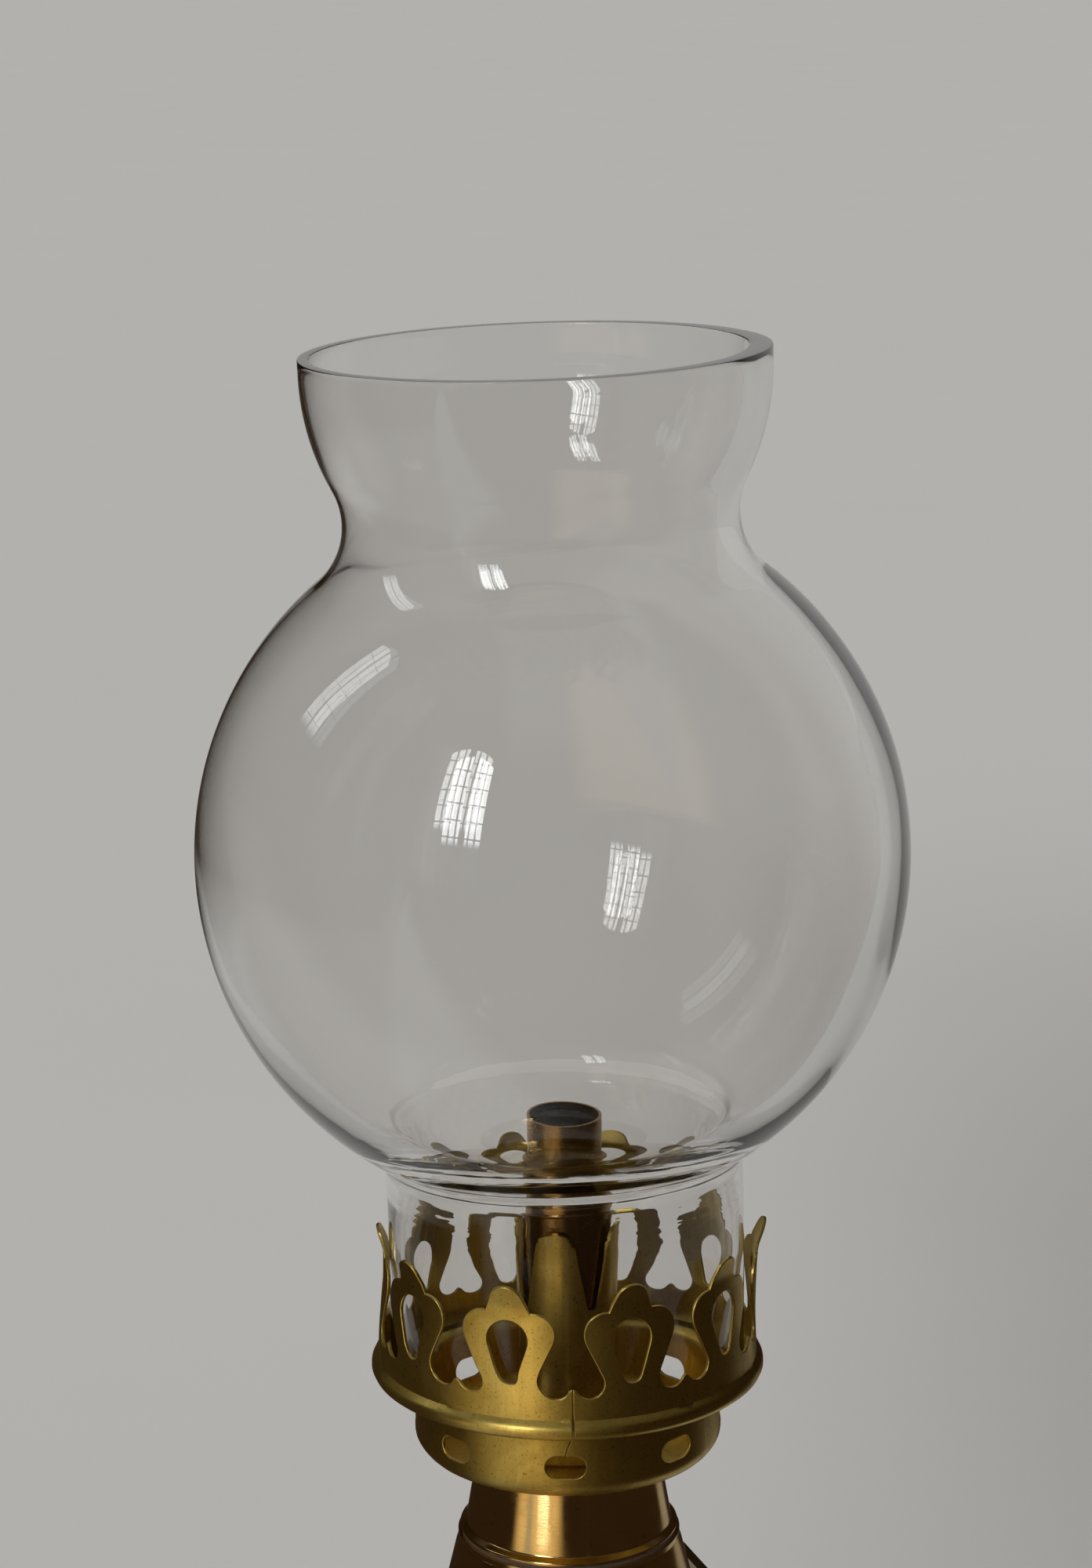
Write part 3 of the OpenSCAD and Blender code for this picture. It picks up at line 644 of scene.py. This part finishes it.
def pear_hole(path, pitch):
    """The pear-shaped hole in the middle of a claw, as a flat loop."""
    lean = math.degrees(math.asin((PEAR_R - PEAR_LOW_R) / PEAR_LEN))
    high, low = (0.0, WALL_Z + PEAR_Z), (0.0, WALL_Z + PEAR_Z - PEAR_LEN)
    loop = arc(high, PEAR_R, -lean, 180 + lean, 20) + arc(low, PEAR_LOW_R, 180 + lean, 360 - lean, 10)
    return [on_wall(path, x, z, pitch / 2) for x, z in loop]


def bowl_outline(path, pitch, high):
    """One sector of the bowl, from the middle of one air hole to the middle of the next, as a flat loop."""
    width = pitch * DEGREE_MM
    w, h = BOWL_HOLE
    middle = path.length_of_z(Z_TOP + BOWL_HOLE_Z, 1.0)
    end = ((w - h) / 2, 0.0)
    right_half = [(0.0, -h / 2)] + arc(end, h / 2, -90, 90, 14) + [(0.0, h / 2)]
    left_edge = [(math.degrees(math.asin(x / BOWL_R)) * DEGREE_MM, middle + y) for x, y in right_half]
    right_edge = [(width - u, s) for u, s in left_edge]
    floor = [(width * i / 40, 0.0) for i in range(41)]
    top = [(width * i / 40, high) for i in range(40, -1, -1)]
    return floor + right_edge + top + list(reversed(left_edge))


def gallery_crown(material):
    """The bowl with its air holes and the ten claws, as one sheet with an open seam."""
    path, bead_start = crown_path()
    rng = random.Random(4)
    leans = [(rng.uniform(-0.05, 0.30) + CLAW_LEANS.get(k, 0.0), rng.uniform(-0.12, 0.12))
             for k in range(CLAWS)]
    hole_z = Z_TOP + BOWL_HOLE_Z
    middle = path.length_of_z(hole_z, 1.0)
    ledge_s = path.at[bead_start] + 1.5
    pitch = 360.0 / CLAWS
    claw = [dense(claw_outline(path, pitch, ledge_s), SHEET_STEP), dense(pear_hole(path, pitch), SHEET_STEP)]
    bowl = [dense(bowl_outline(path, 360.0 / BOWL_HOLES, ledge_s), SHEET_STEP)]

    def slit(s):
        return s > middle

    def place(angle, s, depth):
        r, z, nr, nz = path.place(s)
        at_bead = smooth(z, LEDGE_Z - 1.2, LEDGE_Z) * (1 - smooth(z, WALL_Z, WALL_Z + 1.2))
        open_by = math.degrees((SEAM_GAP + SEAM_GAP_BEAD * at_bead) / max(r, 1.0))
        gap = open_by if angle < 0.001 else (-open_by if angle > 359.999 else 0.0)
        if not slit(s):
            gap = 0.0
        k = int(angle // pitch) % CLAWS
        across = (angle % pitch) / pitch * 2 - 1
        up = smooth(z, WALL_Z + 2.0, Z_TIP + 2.0)
        lean, twist = leans[k]
        bend = (lean * up + twist * across * up) if z > WALL_Z else 0.0
        wave = 0.05 * noise.noise(Vector(around(angle, 2.0, s * 0.12)))
        turn = CLAW_TURNS.get(k, 0.0) * smooth(z, WALL_Z + 2.5, WALL_Z + 6.0) if z > WALL_Z else 0.0
        low = 1 - smooth(z, hole_z + BOWL_HOLE[1] / 2, LEDGE_Z - 1.0) if z < LEDGE_Z else 0.0
        sink = HOLE_SINK * low * smooth(z, Z_TOP + 1.0, hole_z - BOWL_HOLE[1] / 2)
        r += bend + wave - nr * depth
        z -= nz * depth + sink
        return around(SEAM_DIR + angle + gap + turn + HOLE_TURN * low, r, z)

    zones = [(bowl, BOWL_HOLES), (claw, CLAWS)]
    obj = sheet_metal("gallery_crown_sheet", zones, place, CROWN_SHEET, slit, 0.09)
    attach(obj, "gallery")
    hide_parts("gallery_crown")
    return dress(obj, material)


# The spring collet inside the gallery
COLLET_WALL = 0.35
COLLET_FLANGE_R = 8.6
COLLET_SLOT_Z = Z_TOP + 18.3
COLLET_TIP_Z = Z_TOP + 27.4
FINGERS = 4
FINGER_ANGLE = 76.0
FINGER_TIP_R = 2.4


def gallery_collet(material):
    """The collet's flange, its tube and its four spring fingers, as one sheet."""
    flare_h = 2.0
    low_z = Z_TOP + CROWN_SHEET + 0.02
    turn = 0.8
    floor = [(COLLET_FLANGE_R, low_z + COLLET_WALL)]
    bend = arc((COLLET_R + turn, low_z + COLLET_WALL + turn), turn, 270, 180, 8)
    up = [(COLLET_R, z) for z in (Z_TOP + 6, Z_TOP + 12, COLLET_SLOT_Z - 1, COLLET_SLOT_Z + 3,
                                  COLLET_TIP_Z - flare_h)]
    tips = [(COLLET_R + 0.06, COLLET_TIP_Z - 1.2), (COLLET_R + 0.2, COLLET_TIP_Z)]
    path = Path(floor + bend + up + tips)
    pitch = 360.0 / FINGERS
    mm_per_degree = COLLET_R * math.pi / 180
    # Heights on the tube are looked up from the bend's last step on
    past = path.at[len(bend) - 1]
    half_slot = (90 - FINGER_ANGLE) / 2 * mm_per_degree
    half = pitch / 2 * mm_per_degree
    fillet = min(0.5, half_slot)
    tip = (half, COLLET_TIP_Z - FINGER_TIP_R)
    left = (
        [(0.0, COLLET_SLOT_Z), (half_slot - fillet, COLLET_SLOT_Z)]
        + arc((half_slot - fillet, COLLET_SLOT_Z + fillet), fillet, -90, 0, 6)[1:]
        + arc(tip, FINGER_TIP_R, 175, 90, 16)
    )
    scale = DEGREE_MM / mm_per_degree
    left = [(x * scale, path.length_of_z(z, past)) for x, z in left]
    width = pitch * DEGREE_MM
    right = [(width - u, s) for u, s in reversed(left[:-1])]
    base = [(width * i / 60, 0.0) for i in range(61)]
    finger = [dense(base + list(reversed(left + right)), SHEET_STEP)]
    rng = random.Random(9)
    leans = [rng.uniform(-0.03, 0.14) for _ in range(FINGERS)]

    def place(angle, s, depth):
        r, z, nr, nz = path.place(s)
        k = int(angle // pitch) % FINGERS
        up_by = smooth(z, COLLET_SLOT_Z, COLLET_TIP_Z)
        r += leans[k] * up_by - nr * depth
        z -= nz * depth
        return around(FINGER_DIR - pitch / 2 + angle, r, z)

    obj = sheet_metal("gallery_collet_sheet", [(finger, FINGERS)], place, COLLET_WALL, lambda s: False, 0.07)
    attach(obj, "gallery")
    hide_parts("gallery_collet")
    return dress(obj, material)


# The globe: its outer face is nearly round, its inner one is blown off centre
BASE_R = 19.8
MID_Z = 59.3
BULGE_R = 38.85
BULGE_ARC = 39.33
BASE_FILLET = 3.05
WAIST_R = 21.25
WAIST_ARC = 8.42
RIM_R = 25.13
NECK_ARC = 27.0
GLASS = 2.0
GLASS_BASE = 0.95
GLASS_BULGE = 2.35
GLASS_LIFT = 0.9
# The thick ring left where the bulge was blown out of the base: its height, half width and depth
RING_Z = 23.0
RING_HALF = 6.8
RING_DEPTH = 1.5
RING_SIDE_DEPTH = 0.4
# How far the inner face lies to the photograph's left, by height above the globe's foot
INNER_SHIFT = ((0, -0.1), (20, -0.2), (64, 1.35), (80, 1.35), (98, 0.85), (114, 0.8))
LEFT_DIR = CAMERA_DIR - 90.0
# How much of that shift the thick side takes
THICK_SIDE = 0.6
# How far the glass above the base leans to the photograph's left, about which height, and from where to where
GLOBE_LEAN = 1.48
LEAN_Z = 16.0
LEAN_BEND = (8.0, 26.0)
# The rim is cut flat, with softened corners of this height
LIP_H = 0.14


def globe_outline(base_r, fillet, mid, bulge_r, arc_r, waist_r, waist_arc, rim_r, neck_arc):
    """One face of the globe from its foot to the rim, as (radius, height above the foot)."""
    bulge = (bulge_r - arc_r, mid)
    fillet_r = base_r + fillet
    low = (fillet_r, mid - math.sqrt((arc_r + fillet) ** 2 - (fillet_r - bulge[0]) ** 2))
    waist_mid = waist_r + waist_arc
    waist = (waist_mid, mid + math.sqrt((arc_r + waist_arc) ** 2 - (waist_mid - bulge[0]) ** 2))
    neck_r = rim_r - neck_arc
    neck = (neck_r, waist[1] + math.sqrt((waist_arc + neck_arc) ** 2 - (waist_mid - neck_r) ** 2))

    def toward(p, q):
        return math.degrees(math.atan2(q[1] - p[1], q[0] - p[0]))

    to_bulge = toward(low, bulge)
    from_bulge = toward(bulge, waist)
    to_neck = toward(waist, neck)
    upright = [(base_r, low[1] * k / 12) for k in range(1, 12)]
    return (
        upright
        + arc(low, fillet, 180, to_bulge, 10)
        + arc(bulge, arc_r, to_bulge - 180, from_bulge, 72)[1:]
        + arc(waist, waist_arc, from_bulge + 180, to_neck, 18)[1:]
        + arc(neck, neck_arc, to_neck - 180, 0, 16)[1:]
    )


def globe(material):
    """The blown glass, built column by column: foot, outer face, rim and inner face."""
    segments = 256
    lip_steps = 12
    base_in_r = BASE_R - GLASS_BASE
    outer = globe_outline(BASE_R, BASE_FILLET, MID_Z, BULGE_R, BULGE_ARC, WAIST_R, WAIST_ARC, RIM_R, NECK_ARC)
    inner = globe_outline(base_in_r, BASE_FILLET + GLASS_BASE, MID_Z + GLASS_LIFT, BULGE_R - GLASS_BULGE,
                          BULGE_ARC - GLASS_BULGE, WAIST_R - GLASS, WAIST_ARC + GLASS, RIM_R - GLASS,
                          NECK_ARC - GLASS)
    lip_z = Z_RIM - Z_GLOBE - LIP_H
    outer.append((RIM_R, lip_z))
    inner.append((RIM_R - GLASS, lip_z))
    edge = 0.3
    foot = [(BASE_R, edge), (BASE_R - edge, 0.0), (base_in_r + edge, 0.0), (base_in_r, edge)]
    pivot = Vector((0.0, 0.0, LEAN_Z))

    def lean(p):
        """Tips the glass above its base a little to the photograph's left, as it was blown."""
        turn = math.radians(GLOBE_LEAN) * smooth(p[2], *LEAN_BEND)
        v = Vector(p) - pivot
        v.rotate(Matrix.Rotation(turn, 3, Vector(TOWARD_CAMERA)))
        v += pivot
        return (v.x, v.y, v.z + Z_GLOBE)

    def wavy(angle, z, seed, size):
        """The unevenness of the blown glass, which starts above its straight base."""
        return size * noise.noise(Vector(around(angle, 2.2, z * 0.06 + seed))) * smooth(z, 18, 30)

    def outside(angle, r, z):
        return around(angle, r + wavy(angle, z, 3.0, 0.05), z)

    def inside(angle, r, z):
        side = math.cos(math.radians(angle - LEFT_DIR))
        r += wavy(angle, z, 11.0, 0.16)
        share = side * abs(side) ** 1.5
        r += between(z, INNER_SHIFT) * (share if share > 0 else THICK_SIDE * share)
        front = math.cos(math.radians(angle - CAMERA_DIR) / 2) ** 4
        depth = RING_SIDE_DEPTH + (RING_DEPTH - RING_SIDE_DEPTH) * front
        r -= depth * math.exp(-((z - RING_Z) / RING_HALF) ** 2)
        return around(angle, r, z)

    columns = []
    for k in range(segments):
        angle = 360.0 * k / segments
        out_side = [outside(angle, r, z) for r, z in outer]
        in_side = [inside(angle, r, z) for r, z in inner]
        a, b = Vector(out_side[-1]), Vector(in_side[-1])
        lip = []
        for step in range(1, lip_steps):
            t = math.pi * step / lip_steps
            p = a.lerp(b, (1 - math.cos(t)) / 2)
            lip.append((p.x, p.y, p.z + LIP_H * math.sin(t) ** 0.25))
        bottom = [around(angle, r, z) for r, z in foot]
        columns.append([lean(p) for p in bottom[:1] + out_side + lip + in_side[::-1] + bottom[:0:-1]])
    rows = len(columns[0])
    points = [p for column in columns for p in column]
    faces = []
    for k in range(segments):
        n = (k + 1) % segments
        for i in range(rows):
            j = (i + 1) % rows
            faces.append((k * rows + i, n * rows + i, n * rows + j, k * rows + j))
    obj = make_mesh("globe_glass", points, faces, sharp=75.0)
    obj.visible_shadow = False
    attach(obj, "globe")
    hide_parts("globe")
    return dress(obj, material)


def burner_cap(material):
    """The polished cone under the gallery, with its flared rim."""
    sheet = 0.45
    rim_r, low_r, top_r = 12.3, 11.75, 10.1
    rim_h = 0.4
    height = Z_TOP - Z_CAP
    hole_r = 5.05

    def cone(z):
        return low_r + (top_r - low_r) * (z - Z_CAP) / height

    outside = (
        [(rim_r - 0.05, Z_CAP)]
        + arc((rim_r - 0.2, Z_CAP + 0.2), 0.2, -60, 80, 8)
        + arc((cone(Z_CAP + 1.0) + 0.28, Z_CAP + 0.95), 0.28, 250, 182, 6)
        + [(cone(Z_CAP + 1.4 + k * 1.0), Z_CAP + 1.4 + k * 1.0) for k in range(8)]
        + arc((cone(Z_TOP - 0.5) - 0.5, Z_TOP - 0.5), 0.5, 8, 90, 8)
        + [(8.0, Z_TOP), (hole_r, Z_TOP)]
    )
    inside = [(hole_r, Z_TOP - sheet), (cone(Z_TOP) - sheet - 0.4, Z_TOP - sheet),
              (cone(Z_TOP - 1) - sheet, Z_TOP - 1), (cone(Z_CAP + 1.2) - sheet, Z_CAP + 1.2),
              (cone(Z_CAP + rim_h) - sheet, Z_CAP)]
    obj = lathe("burner_cap_cone", outside + inside, segments=256, sharp=35.0)
    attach(obj, "burner")
    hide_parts("burner_cap")
    return dress(obj, material)


def font_cone(material):
    """The font's cone, spun from sheet, with a slight waviness left by the tool."""
    low_r, top_r, sheet = 27.5, 12.55, 0.5
    steps = 60
    height = Z_NECK - Z_FONT

    def radius(z):
        return low_r + (top_r - low_r) * (z - Z_FONT) / height

    outside = [(radius(Z_FONT + height * k / steps), Z_FONT + height * k / steps) for k in range(steps)]
    edge = arc((top_r - 0.22, Z_NECK - 0.2), 0.2, 10, 90, 5)
    inside = [(top_r - sheet, Z_NECK), (low_r - sheet, Z_FONT)]

    def shape(angle, r, z):
        dent = 0.035 * noise.noise(Vector(around(angle, 1.6, z * 0.05)))
        return around(angle, r + dent, z)

    obj = lathe("font_cone", outside + edge + inside, segments=256, sharp=35.0, shape=shape)
    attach(obj, "font")
    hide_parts("font_shell")
    return dress(obj, material)


def wick_top(material):
    """The round wick, with a crumbly charred top a little below the tube's mouth."""
    low = span("wick")[0].z
    neck_z = span("wick_carrier")[1].z
    head_r = 3.88
    stem_r = 3.6
    high = Z_MOUTH - 0.2
    burnt_in, burnt_down = 0.25, 0.42
    crown = [(head_r * math.cos(math.radians(a)), high - 0.9 + 0.75 * math.sin(math.radians(a)))
             for a in range(0, 90, 6)]
    side = [(stem_r - 0.5, low), (stem_r, low + 0.5)]
    side += [(stem_r, low + 0.5 + (neck_z - low - 0.5) * k / 10) for k in range(1, 11)]
    side += [(head_r, neck_z)] + [(head_r, neck_z + (high - 1.2 - neck_z) * k / 12) for k in range(1, 13)]
    profile = [(0.0, low)] + side + crown + [(0.0, high - 0.25)]

    def shape(angle, r, z):
        burnt = smooth(z, high - 2.0, high - 0.8)
        lump = burnt * abs(noise.fractal(Vector(around(angle, r * 1.3, z * 1.3)), 0.9, 2.1, 4))
        return around(angle, r - burnt_in * lump * min(1, r), z - burnt_down * lump)

    obj = lathe("wick_cotton", profile, segments=160, sharp=60.0, shape=shape)
    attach(obj, "wick_carriage")
    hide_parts("wick")
    return dress(obj, material)


# The tones of the studio: what stands behind the lamp, and the dim room that the photographer stood in
PALE = rgb(0.497, 0.487, 0.468)
SOFT_LIGHT = rgb(0.62, 0.62, 0.62)
DIM_ROOM = rgb(0.016, 0.010, 0.006)
DIM_PATCH = rgb(0.03, 0.018, 0.010)
DIM_FLOOR = rgb(0.030, 0.019, 0.011)
FLOOR_TONES = (rgb(0.487, 0.477, 0.457), rgb(0.507, 0.497, 0.478))
# The ceiling, and between which upward shares of a direction it comes in
CEILING = rgb(0.10, 0.09, 0.075)
CEILING_EDGE = (0.50, 0.85)
# A painted shadow on the floor to the lamp's right: its tone, its share, and how it fades in by metres to the
# right and to the camera
PAINTED_SHADOW_TONE = rgb(0.24, 0.225, 0.205)
PAINTED_SHADOW_SHARE = 0.65
PAINTED_SHADOW_RIGHT = (-0.02, 0.16)
PAINTED_SHADOW_FRONT = (-0.75, -0.2)
# Between which metres from the lamp the floor's dark corner fades in
CORNER_REACH = (0.35, 0.6)
# The strip of daylight on the dim floor, by metres from its middle line to where it fades and where it ends
STRIP_EDGE = (0.04, 0.09)
# The wood that the window lights: its direction, the cosines between which its edge fades, and its share
LIT_WOOD = rgb(0.90, 0.71, 0.43)
LIT_DIR = -170.0
LIT_EDGE = (0.86, 0.95)
LIT_SHARE = 0.14
# A door that stands ajar, in the same terms
DOOR_DIR = -115.0
DOOR_EDGE = (0.995, 0.9985)
DOOR_SHARE = 0.3
# What mirrors show round the lamp, by direction and elevation in degrees as seen from this height on its axis
MIDDLE_Z = 150.0
WINDOW_DIR = -164.3
WINDOW_UP = 22.0
WINDOW_FAR = 1200.0
REVEAL_DIR = -173.6
REVEAL_FAR = 1215.0
SIDE_WINDOW_DIR = 128.0
SIDE_WINDOW_UP = 32.0
SILL_UP = -2.5
SILL_FAR = 1190.0
# The daylight that lights the lamp, as a sun with soft edges
DAYLIGHT_DIR = -168.0
DAYLIGHT_UP = 45.0
DAYLIGHT_SPREAD = 50.0
DAYLIGHT_STRENGTH = 1.25


def unlit(obj):
    """Keeps a stage piece out of the picture and of the light: it shows only in glass and metal."""
    obj.visible_camera = False
    obj.visible_diffuse = False
    obj.visible_shadow = False
    return obj


def window(name, width, height, columns, rows, mullion, strength, arch, mirrored=1.0):
    """A tall window: bright panes between thin bars, a thick middle bar and an arched top.

    Metal and the outer face of glass mirror it with that share of its strength."""
    thin = 0.35 * mullion
    points = []
    faces = []

    def top_at(x, z):
        return min(z, height / 2 - arch * (2 * x / width) ** 2)

    for i in range(columns):
        for j in range(rows):
            x0 = -width / 2 + width * i / columns + thin / 2
            x1 = -width / 2 + width * (i + 1) / columns - thin / 2
            if i == columns // 2:
                x0 += mullion / 2
            if i == columns // 2 - 1:
                x1 -= mullion / 2
            z0 = -height / 2 + height * j / rows + thin / 2
            z1 = -height / 2 + height * (j + 1) / rows - thin / 2
            first = len(points)
            points += [(x0, 0, z0), (x1, 0, z0)]
            points += [(x, 0, max(z0, top_at(x, z1))) for x in (x1, x0)]
            faces.append((first, first + 1, first + 2, first + 3))
    obj = make_mesh(name, points, faces)
    n = Nodes(name)
    place = n.object_place()
    up = n.dot(place, (0, 0, 1 / (height * MM)))
    trees = n.ramp(n.noise(place, 14.0, 4.0, 0.7), 0.42, 0.58, 0.005, 0.02)
    level = n.mix(n.ramp(up, -0.2, -0.12), trees, rgb(1, 1, 1))
    direct = n.times(n.reflected(), n.no(n.bent()))
    level = n.times(level, n.ramp(direct, 0.0, 1.0, strength, strength * mirrored))
    dress(obj, n.emit(n.mix(n.ramp(up, -0.3, 0.4), rgb(0.92, 0.96, 0.99), rgb(0.98, 1.0, 1.0)), level))
    return unlit(obj)


def card(name, width, height, colour, strength, in_glass):
    """A plain card that only metal and glass show, and glass with the share in_glass of its strength."""
    x, z = width / 2, height / 2
    obj = make_mesh(name, [(-x, 0, -z), (x, 0, -z), (x, 0, z), (-x, 0, z)], [(0, 1, 2, 3)])
    n = Nodes(name)
    tone = n.mix(n.noise(n.object_place(), 6.0, 3.0, 0.6), colour, rgb(*(0.7 * c for c in colour[:3])))
    dress(obj, n.emit(tone, n.ramp(n.ray("Singular"), 0.0, 1.0, strength, strength * in_glass)))
    return unlit(obj)


def aim(obj, direction, elevation, distance, front="Y", up="Z"):
    """Puts a stage piece that way from the lamp's middle, with its front towards it."""
    d, e = math.radians(direction), math.radians(elevation)
    out = Vector((math.cos(d) * math.cos(e), math.sin(d) * math.cos(e), math.sin(e)))
    obj.location = Vector((0, 0, MIDDLE_Z * MM)) + out * distance * MM
    obj.rotation_euler = (-out).to_track_quat(front, up).to_euler()


def lit_side(n, direction):
    """1 towards what the window lights, 0 elsewhere and in what the near wall of the glass mirrors."""
    lit = n.ramp(n.dot(direction, around(LIT_DIR, 1.0, 0.0)), *LIT_EDGE)
    return n.times(lit, n.no(n.times(n.ray("Singular"), n.before_far_wall())))


def pale_floor():
    """The floor: pale, a little darker to the photograph's right by a painted shadow, and dim in what metal
    and glass mirror.
    """
    size = 14000.0
    corners = [(-size, -size, 0), (size, -size, 0), (size, size, 0), (-size, size, 0)]
    floor = make_mesh("floor", corners, [(0, 1, 2, 3)])
    n = Nodes("floor")
    place = n.object_place()
    right = n.dot(place, TO_RIGHT)
    front = n.dot(place, TOWARD_CAMERA)
    tone = n.mix(n.noise(place, 9.0, 4.0, 0.6), *FLOOR_TONES)
    # A painted shadow: the floor's tone darkens to the lamp's right, but not where the near wall of the glass
    # alone shows it
    painted_shadow = n.times(n.ramp(right, *PAINTED_SHADOW_RIGHT), n.ramp(front, *PAINTED_SHADOW_FRONT))
    painted_shadow = n.times(painted_shadow, n.ramp(n.bent(), 0.0, 1.0, PAINTED_SHADOW_SHARE, 0.0))
    tone = n.mix(painted_shadow, tone, PAINTED_SHADOW_TONE)
    ahead = n.add("VectorMath", operation="NORMALIZE")
    n.put(ahead.inputs[0], place)
    ahead = ahead.outputs[0]
    reach = n.add("VectorMath", operation="LENGTH")
    n.put(reach.inputs[0], place)
    dim = n.dim(ahead, n.ramp(reach.outputs["Value"], *CORNER_REACH))
    dim = n.times(dim, n.ramp(n.math("ABSOLUTE", n.math("ADD", right, front)), *STRIP_EDGE))
    shader = n.add("BsdfDiffuse")
    n.put(shader.inputs["Color"], n.mix(dim, tone, n.mix(lit_side(n, ahead), DIM_FLOOR, LIT_WOOD)))
    n.put(n.out.inputs["Surface"], shader.outputs[0])
    dress(floor, n.material)


def surroundings():
    """The world: pale to the eye and through glass, even soft light, and a dim room in what shines."""
    n = Nodes("studio", world=True)
    direction = n.add("TexCoord").outputs["Generated"]
    furniture = n.ramp(n.noise(n.stretched(direction, 3.4, 3.4, 0.9), 1.0, 3.0, 0.55), 0.52, 0.70)
    room = n.mix(furniture, DIM_ROOM, DIM_PATCH)
    lit = n.times(lit_side(n, direction), LIT_SHARE)
    door = n.ramp(n.dot(direction, around(DOOR_DIR, 1.0, 0.0)), *DOOR_EDGE, 0.0, DOOR_SHARE)
    lit = n.times(n.math("MAXIMUM", lit, door), n.no(n.ray("Singular")))
    room = n.mix(lit, room, LIT_WOOD)
    room = n.mix(n.ramp(n.dot(direction, (0, 0, 1)), *CEILING_EDGE), room, CEILING)
    colour = n.mix(n.ray("Diffuse"), PALE, SOFT_LIGHT)
    colour = n.mix(n.dim(direction), colour, room)
    back = n.add("Background")
    n.put(back.inputs["Color"], colour)
    n.put(n.out.inputs["Surface"], back.outputs[0])
    n.material.cycles.sampling_method = "NONE"
    bpy.context.scene.world = n.material


def studio():
    """Pale floor, soft daylight, and the windows, reveal and sill that show on glass and brass."""
    pale_floor()
    surroundings()
    front = window("window_front", width=262, height=850, columns=6, rows=8, mullion=30, strength=14.0,
                   arch=60)
    aim(front, WINDOW_DIR, WINDOW_UP, WINDOW_FAR)
    reveal = card("window_reveal", width=110, height=850, colour=rgb(0.50, 0.48, 0.44), strength=0.9,
                  in_glass=1.0)
    aim(reveal, REVEAL_DIR, WINDOW_UP, REVEAL_FAR)
    side = window("window_side", width=200, height=900, columns=4, rows=8, mullion=12, strength=5.0,
                  arch=40, mirrored=0.25)
    aim(side, SIDE_WINDOW_DIR, SIDE_WINDOW_UP, WINDOW_FAR)
    sill = card("window_sill", width=250, height=190, colour=rgb(0.95, 0.97, 1.0), strength=6.0, in_glass=0.0)
    sill.visible_transmission = False
    aim(sill, WINDOW_DIR, SILL_UP, SILL_FAR)

    lamp = bpy.data.lights.new("daylight", "SUN")
    lamp.angle = math.radians(DAYLIGHT_SPREAD)
    lamp.energy = DAYLIGHT_STRENGTH
    sun = bpy.data.objects.new("daylight", lamp)
    bpy.context.scene.collection.objects.link(sun)
    aim(sun, DAYLIGHT_DIR, DAYLIGHT_UP, WINDOW_FAR, front="-Z", up="Y")
    sun.visible_glossy = False
    sun.visible_transmission = False


def photo_camera():
    """The camera as it stood, its lens given by the focal length in the photograph's pixels."""
    data = bpy.data.cameras.new("photo_camera")
    data.sensor_width = SENSOR
    data.sensor_fit = "AUTO"
    data.lens = FOCAL_PIXELS / IMAGE_HEIGHT * SENSOR
    data.clip_start = 0.01
    data.clip_end = 60.0
    camera = bpy.data.objects.new("photo_camera", data)
    bpy.context.scene.collection.objects.link(camera)
    a = math.radians(CAMERA_DIR)
    camera.location = (CAMERA_REACH * math.cos(a) * MM, CAMERA_REACH * math.sin(a) * MM, CAMERA_Z * MM)
    ahead = math.radians(CAMERA_DIR + 180 + CAMERA_YAW)
    pitch = math.radians(CAMERA_PITCH)
    forward = Vector((math.cos(pitch) * math.cos(ahead), math.cos(pitch) * math.sin(ahead), -math.sin(pitch)))
    turn = forward.to_track_quat("-Z", "Y").to_matrix()
    roll = Matrix.Rotation(math.radians(-CAMERA_ROLL), 3, "Z")
    camera.rotation_euler = (turn @ roll).to_euler()
    bpy.context.scene.camera = camera


photo_camera()
studio()

# Lathe marks: a fine grain round the axis
TURNED = {"brush": 3.0, "brush_up": 5200.0}
aged = brass("aged_brass", rgb(0.70, 0.52, 0.14), rgb(0.46, 0.315, 0.065), rgb(0.055, 0.03, 0.008),
             gloss=0.31, tarnish=0.8, brush=26.0, brush_up=90.0, pitted=0.45)
polished = brass("polished_brass", rgb(0.83, 0.60, 0.27), rgb(0.66, 0.44, 0.16), rgb(0.10, 0.055, 0.02),
                 gloss=0.09, tarnish=0.5, **TURNED)
tube_brass = brass("tube_brass", rgb(0.33, 0.20, 0.07), rgb(0.15, 0.085, 0.028), rgb(0.03, 0.016, 0.007),
                   gloss=0.22, tarnish=0.9, **TURNED)
plain = brass("plain_brass", rgb(0.70, 0.53, 0.26), rgb(0.48, 0.34, 0.14), rgb(0.12, 0.08, 0.03),
              gloss=0.34, tarnish=0.7, **TURNED)
strap = brass("handle_brass", rgb(0.42, 0.31, 0.14), rgb(0.16, 0.11, 0.05), rgb(0.03, 0.02, 0.01),
              gloss=0.26, tarnish=1.0, brush=14.0, brush_up=90.0)

gallery_crown(aged)
gallery_collet(aged)
globe(clear_glass())
burner_cap(polished)
font_cone(polished)
wick_top(charred_cotton())

steel = turned_steel()
for node, material in {
    "foot_shell": polished, "foot_plate": plain, "ballast_disc": rough_iron(), "foot_stud": steel,
    "stud_nut": steel, "font_pan": plain, "neck_ring": polished, "wadding": loose_cotton(), "handle": strap,
    "seal_washer": washer_leather(), "thread_bush": plain, "wick_tube": tube_brass,
    "regulator_sleeve": tube_brass, "wick_carrier": plain, "drive_pin": steel,
}.items():
    dress(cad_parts[node], material)

bpy.context.scene.view_settings.view_transform = "Standard"
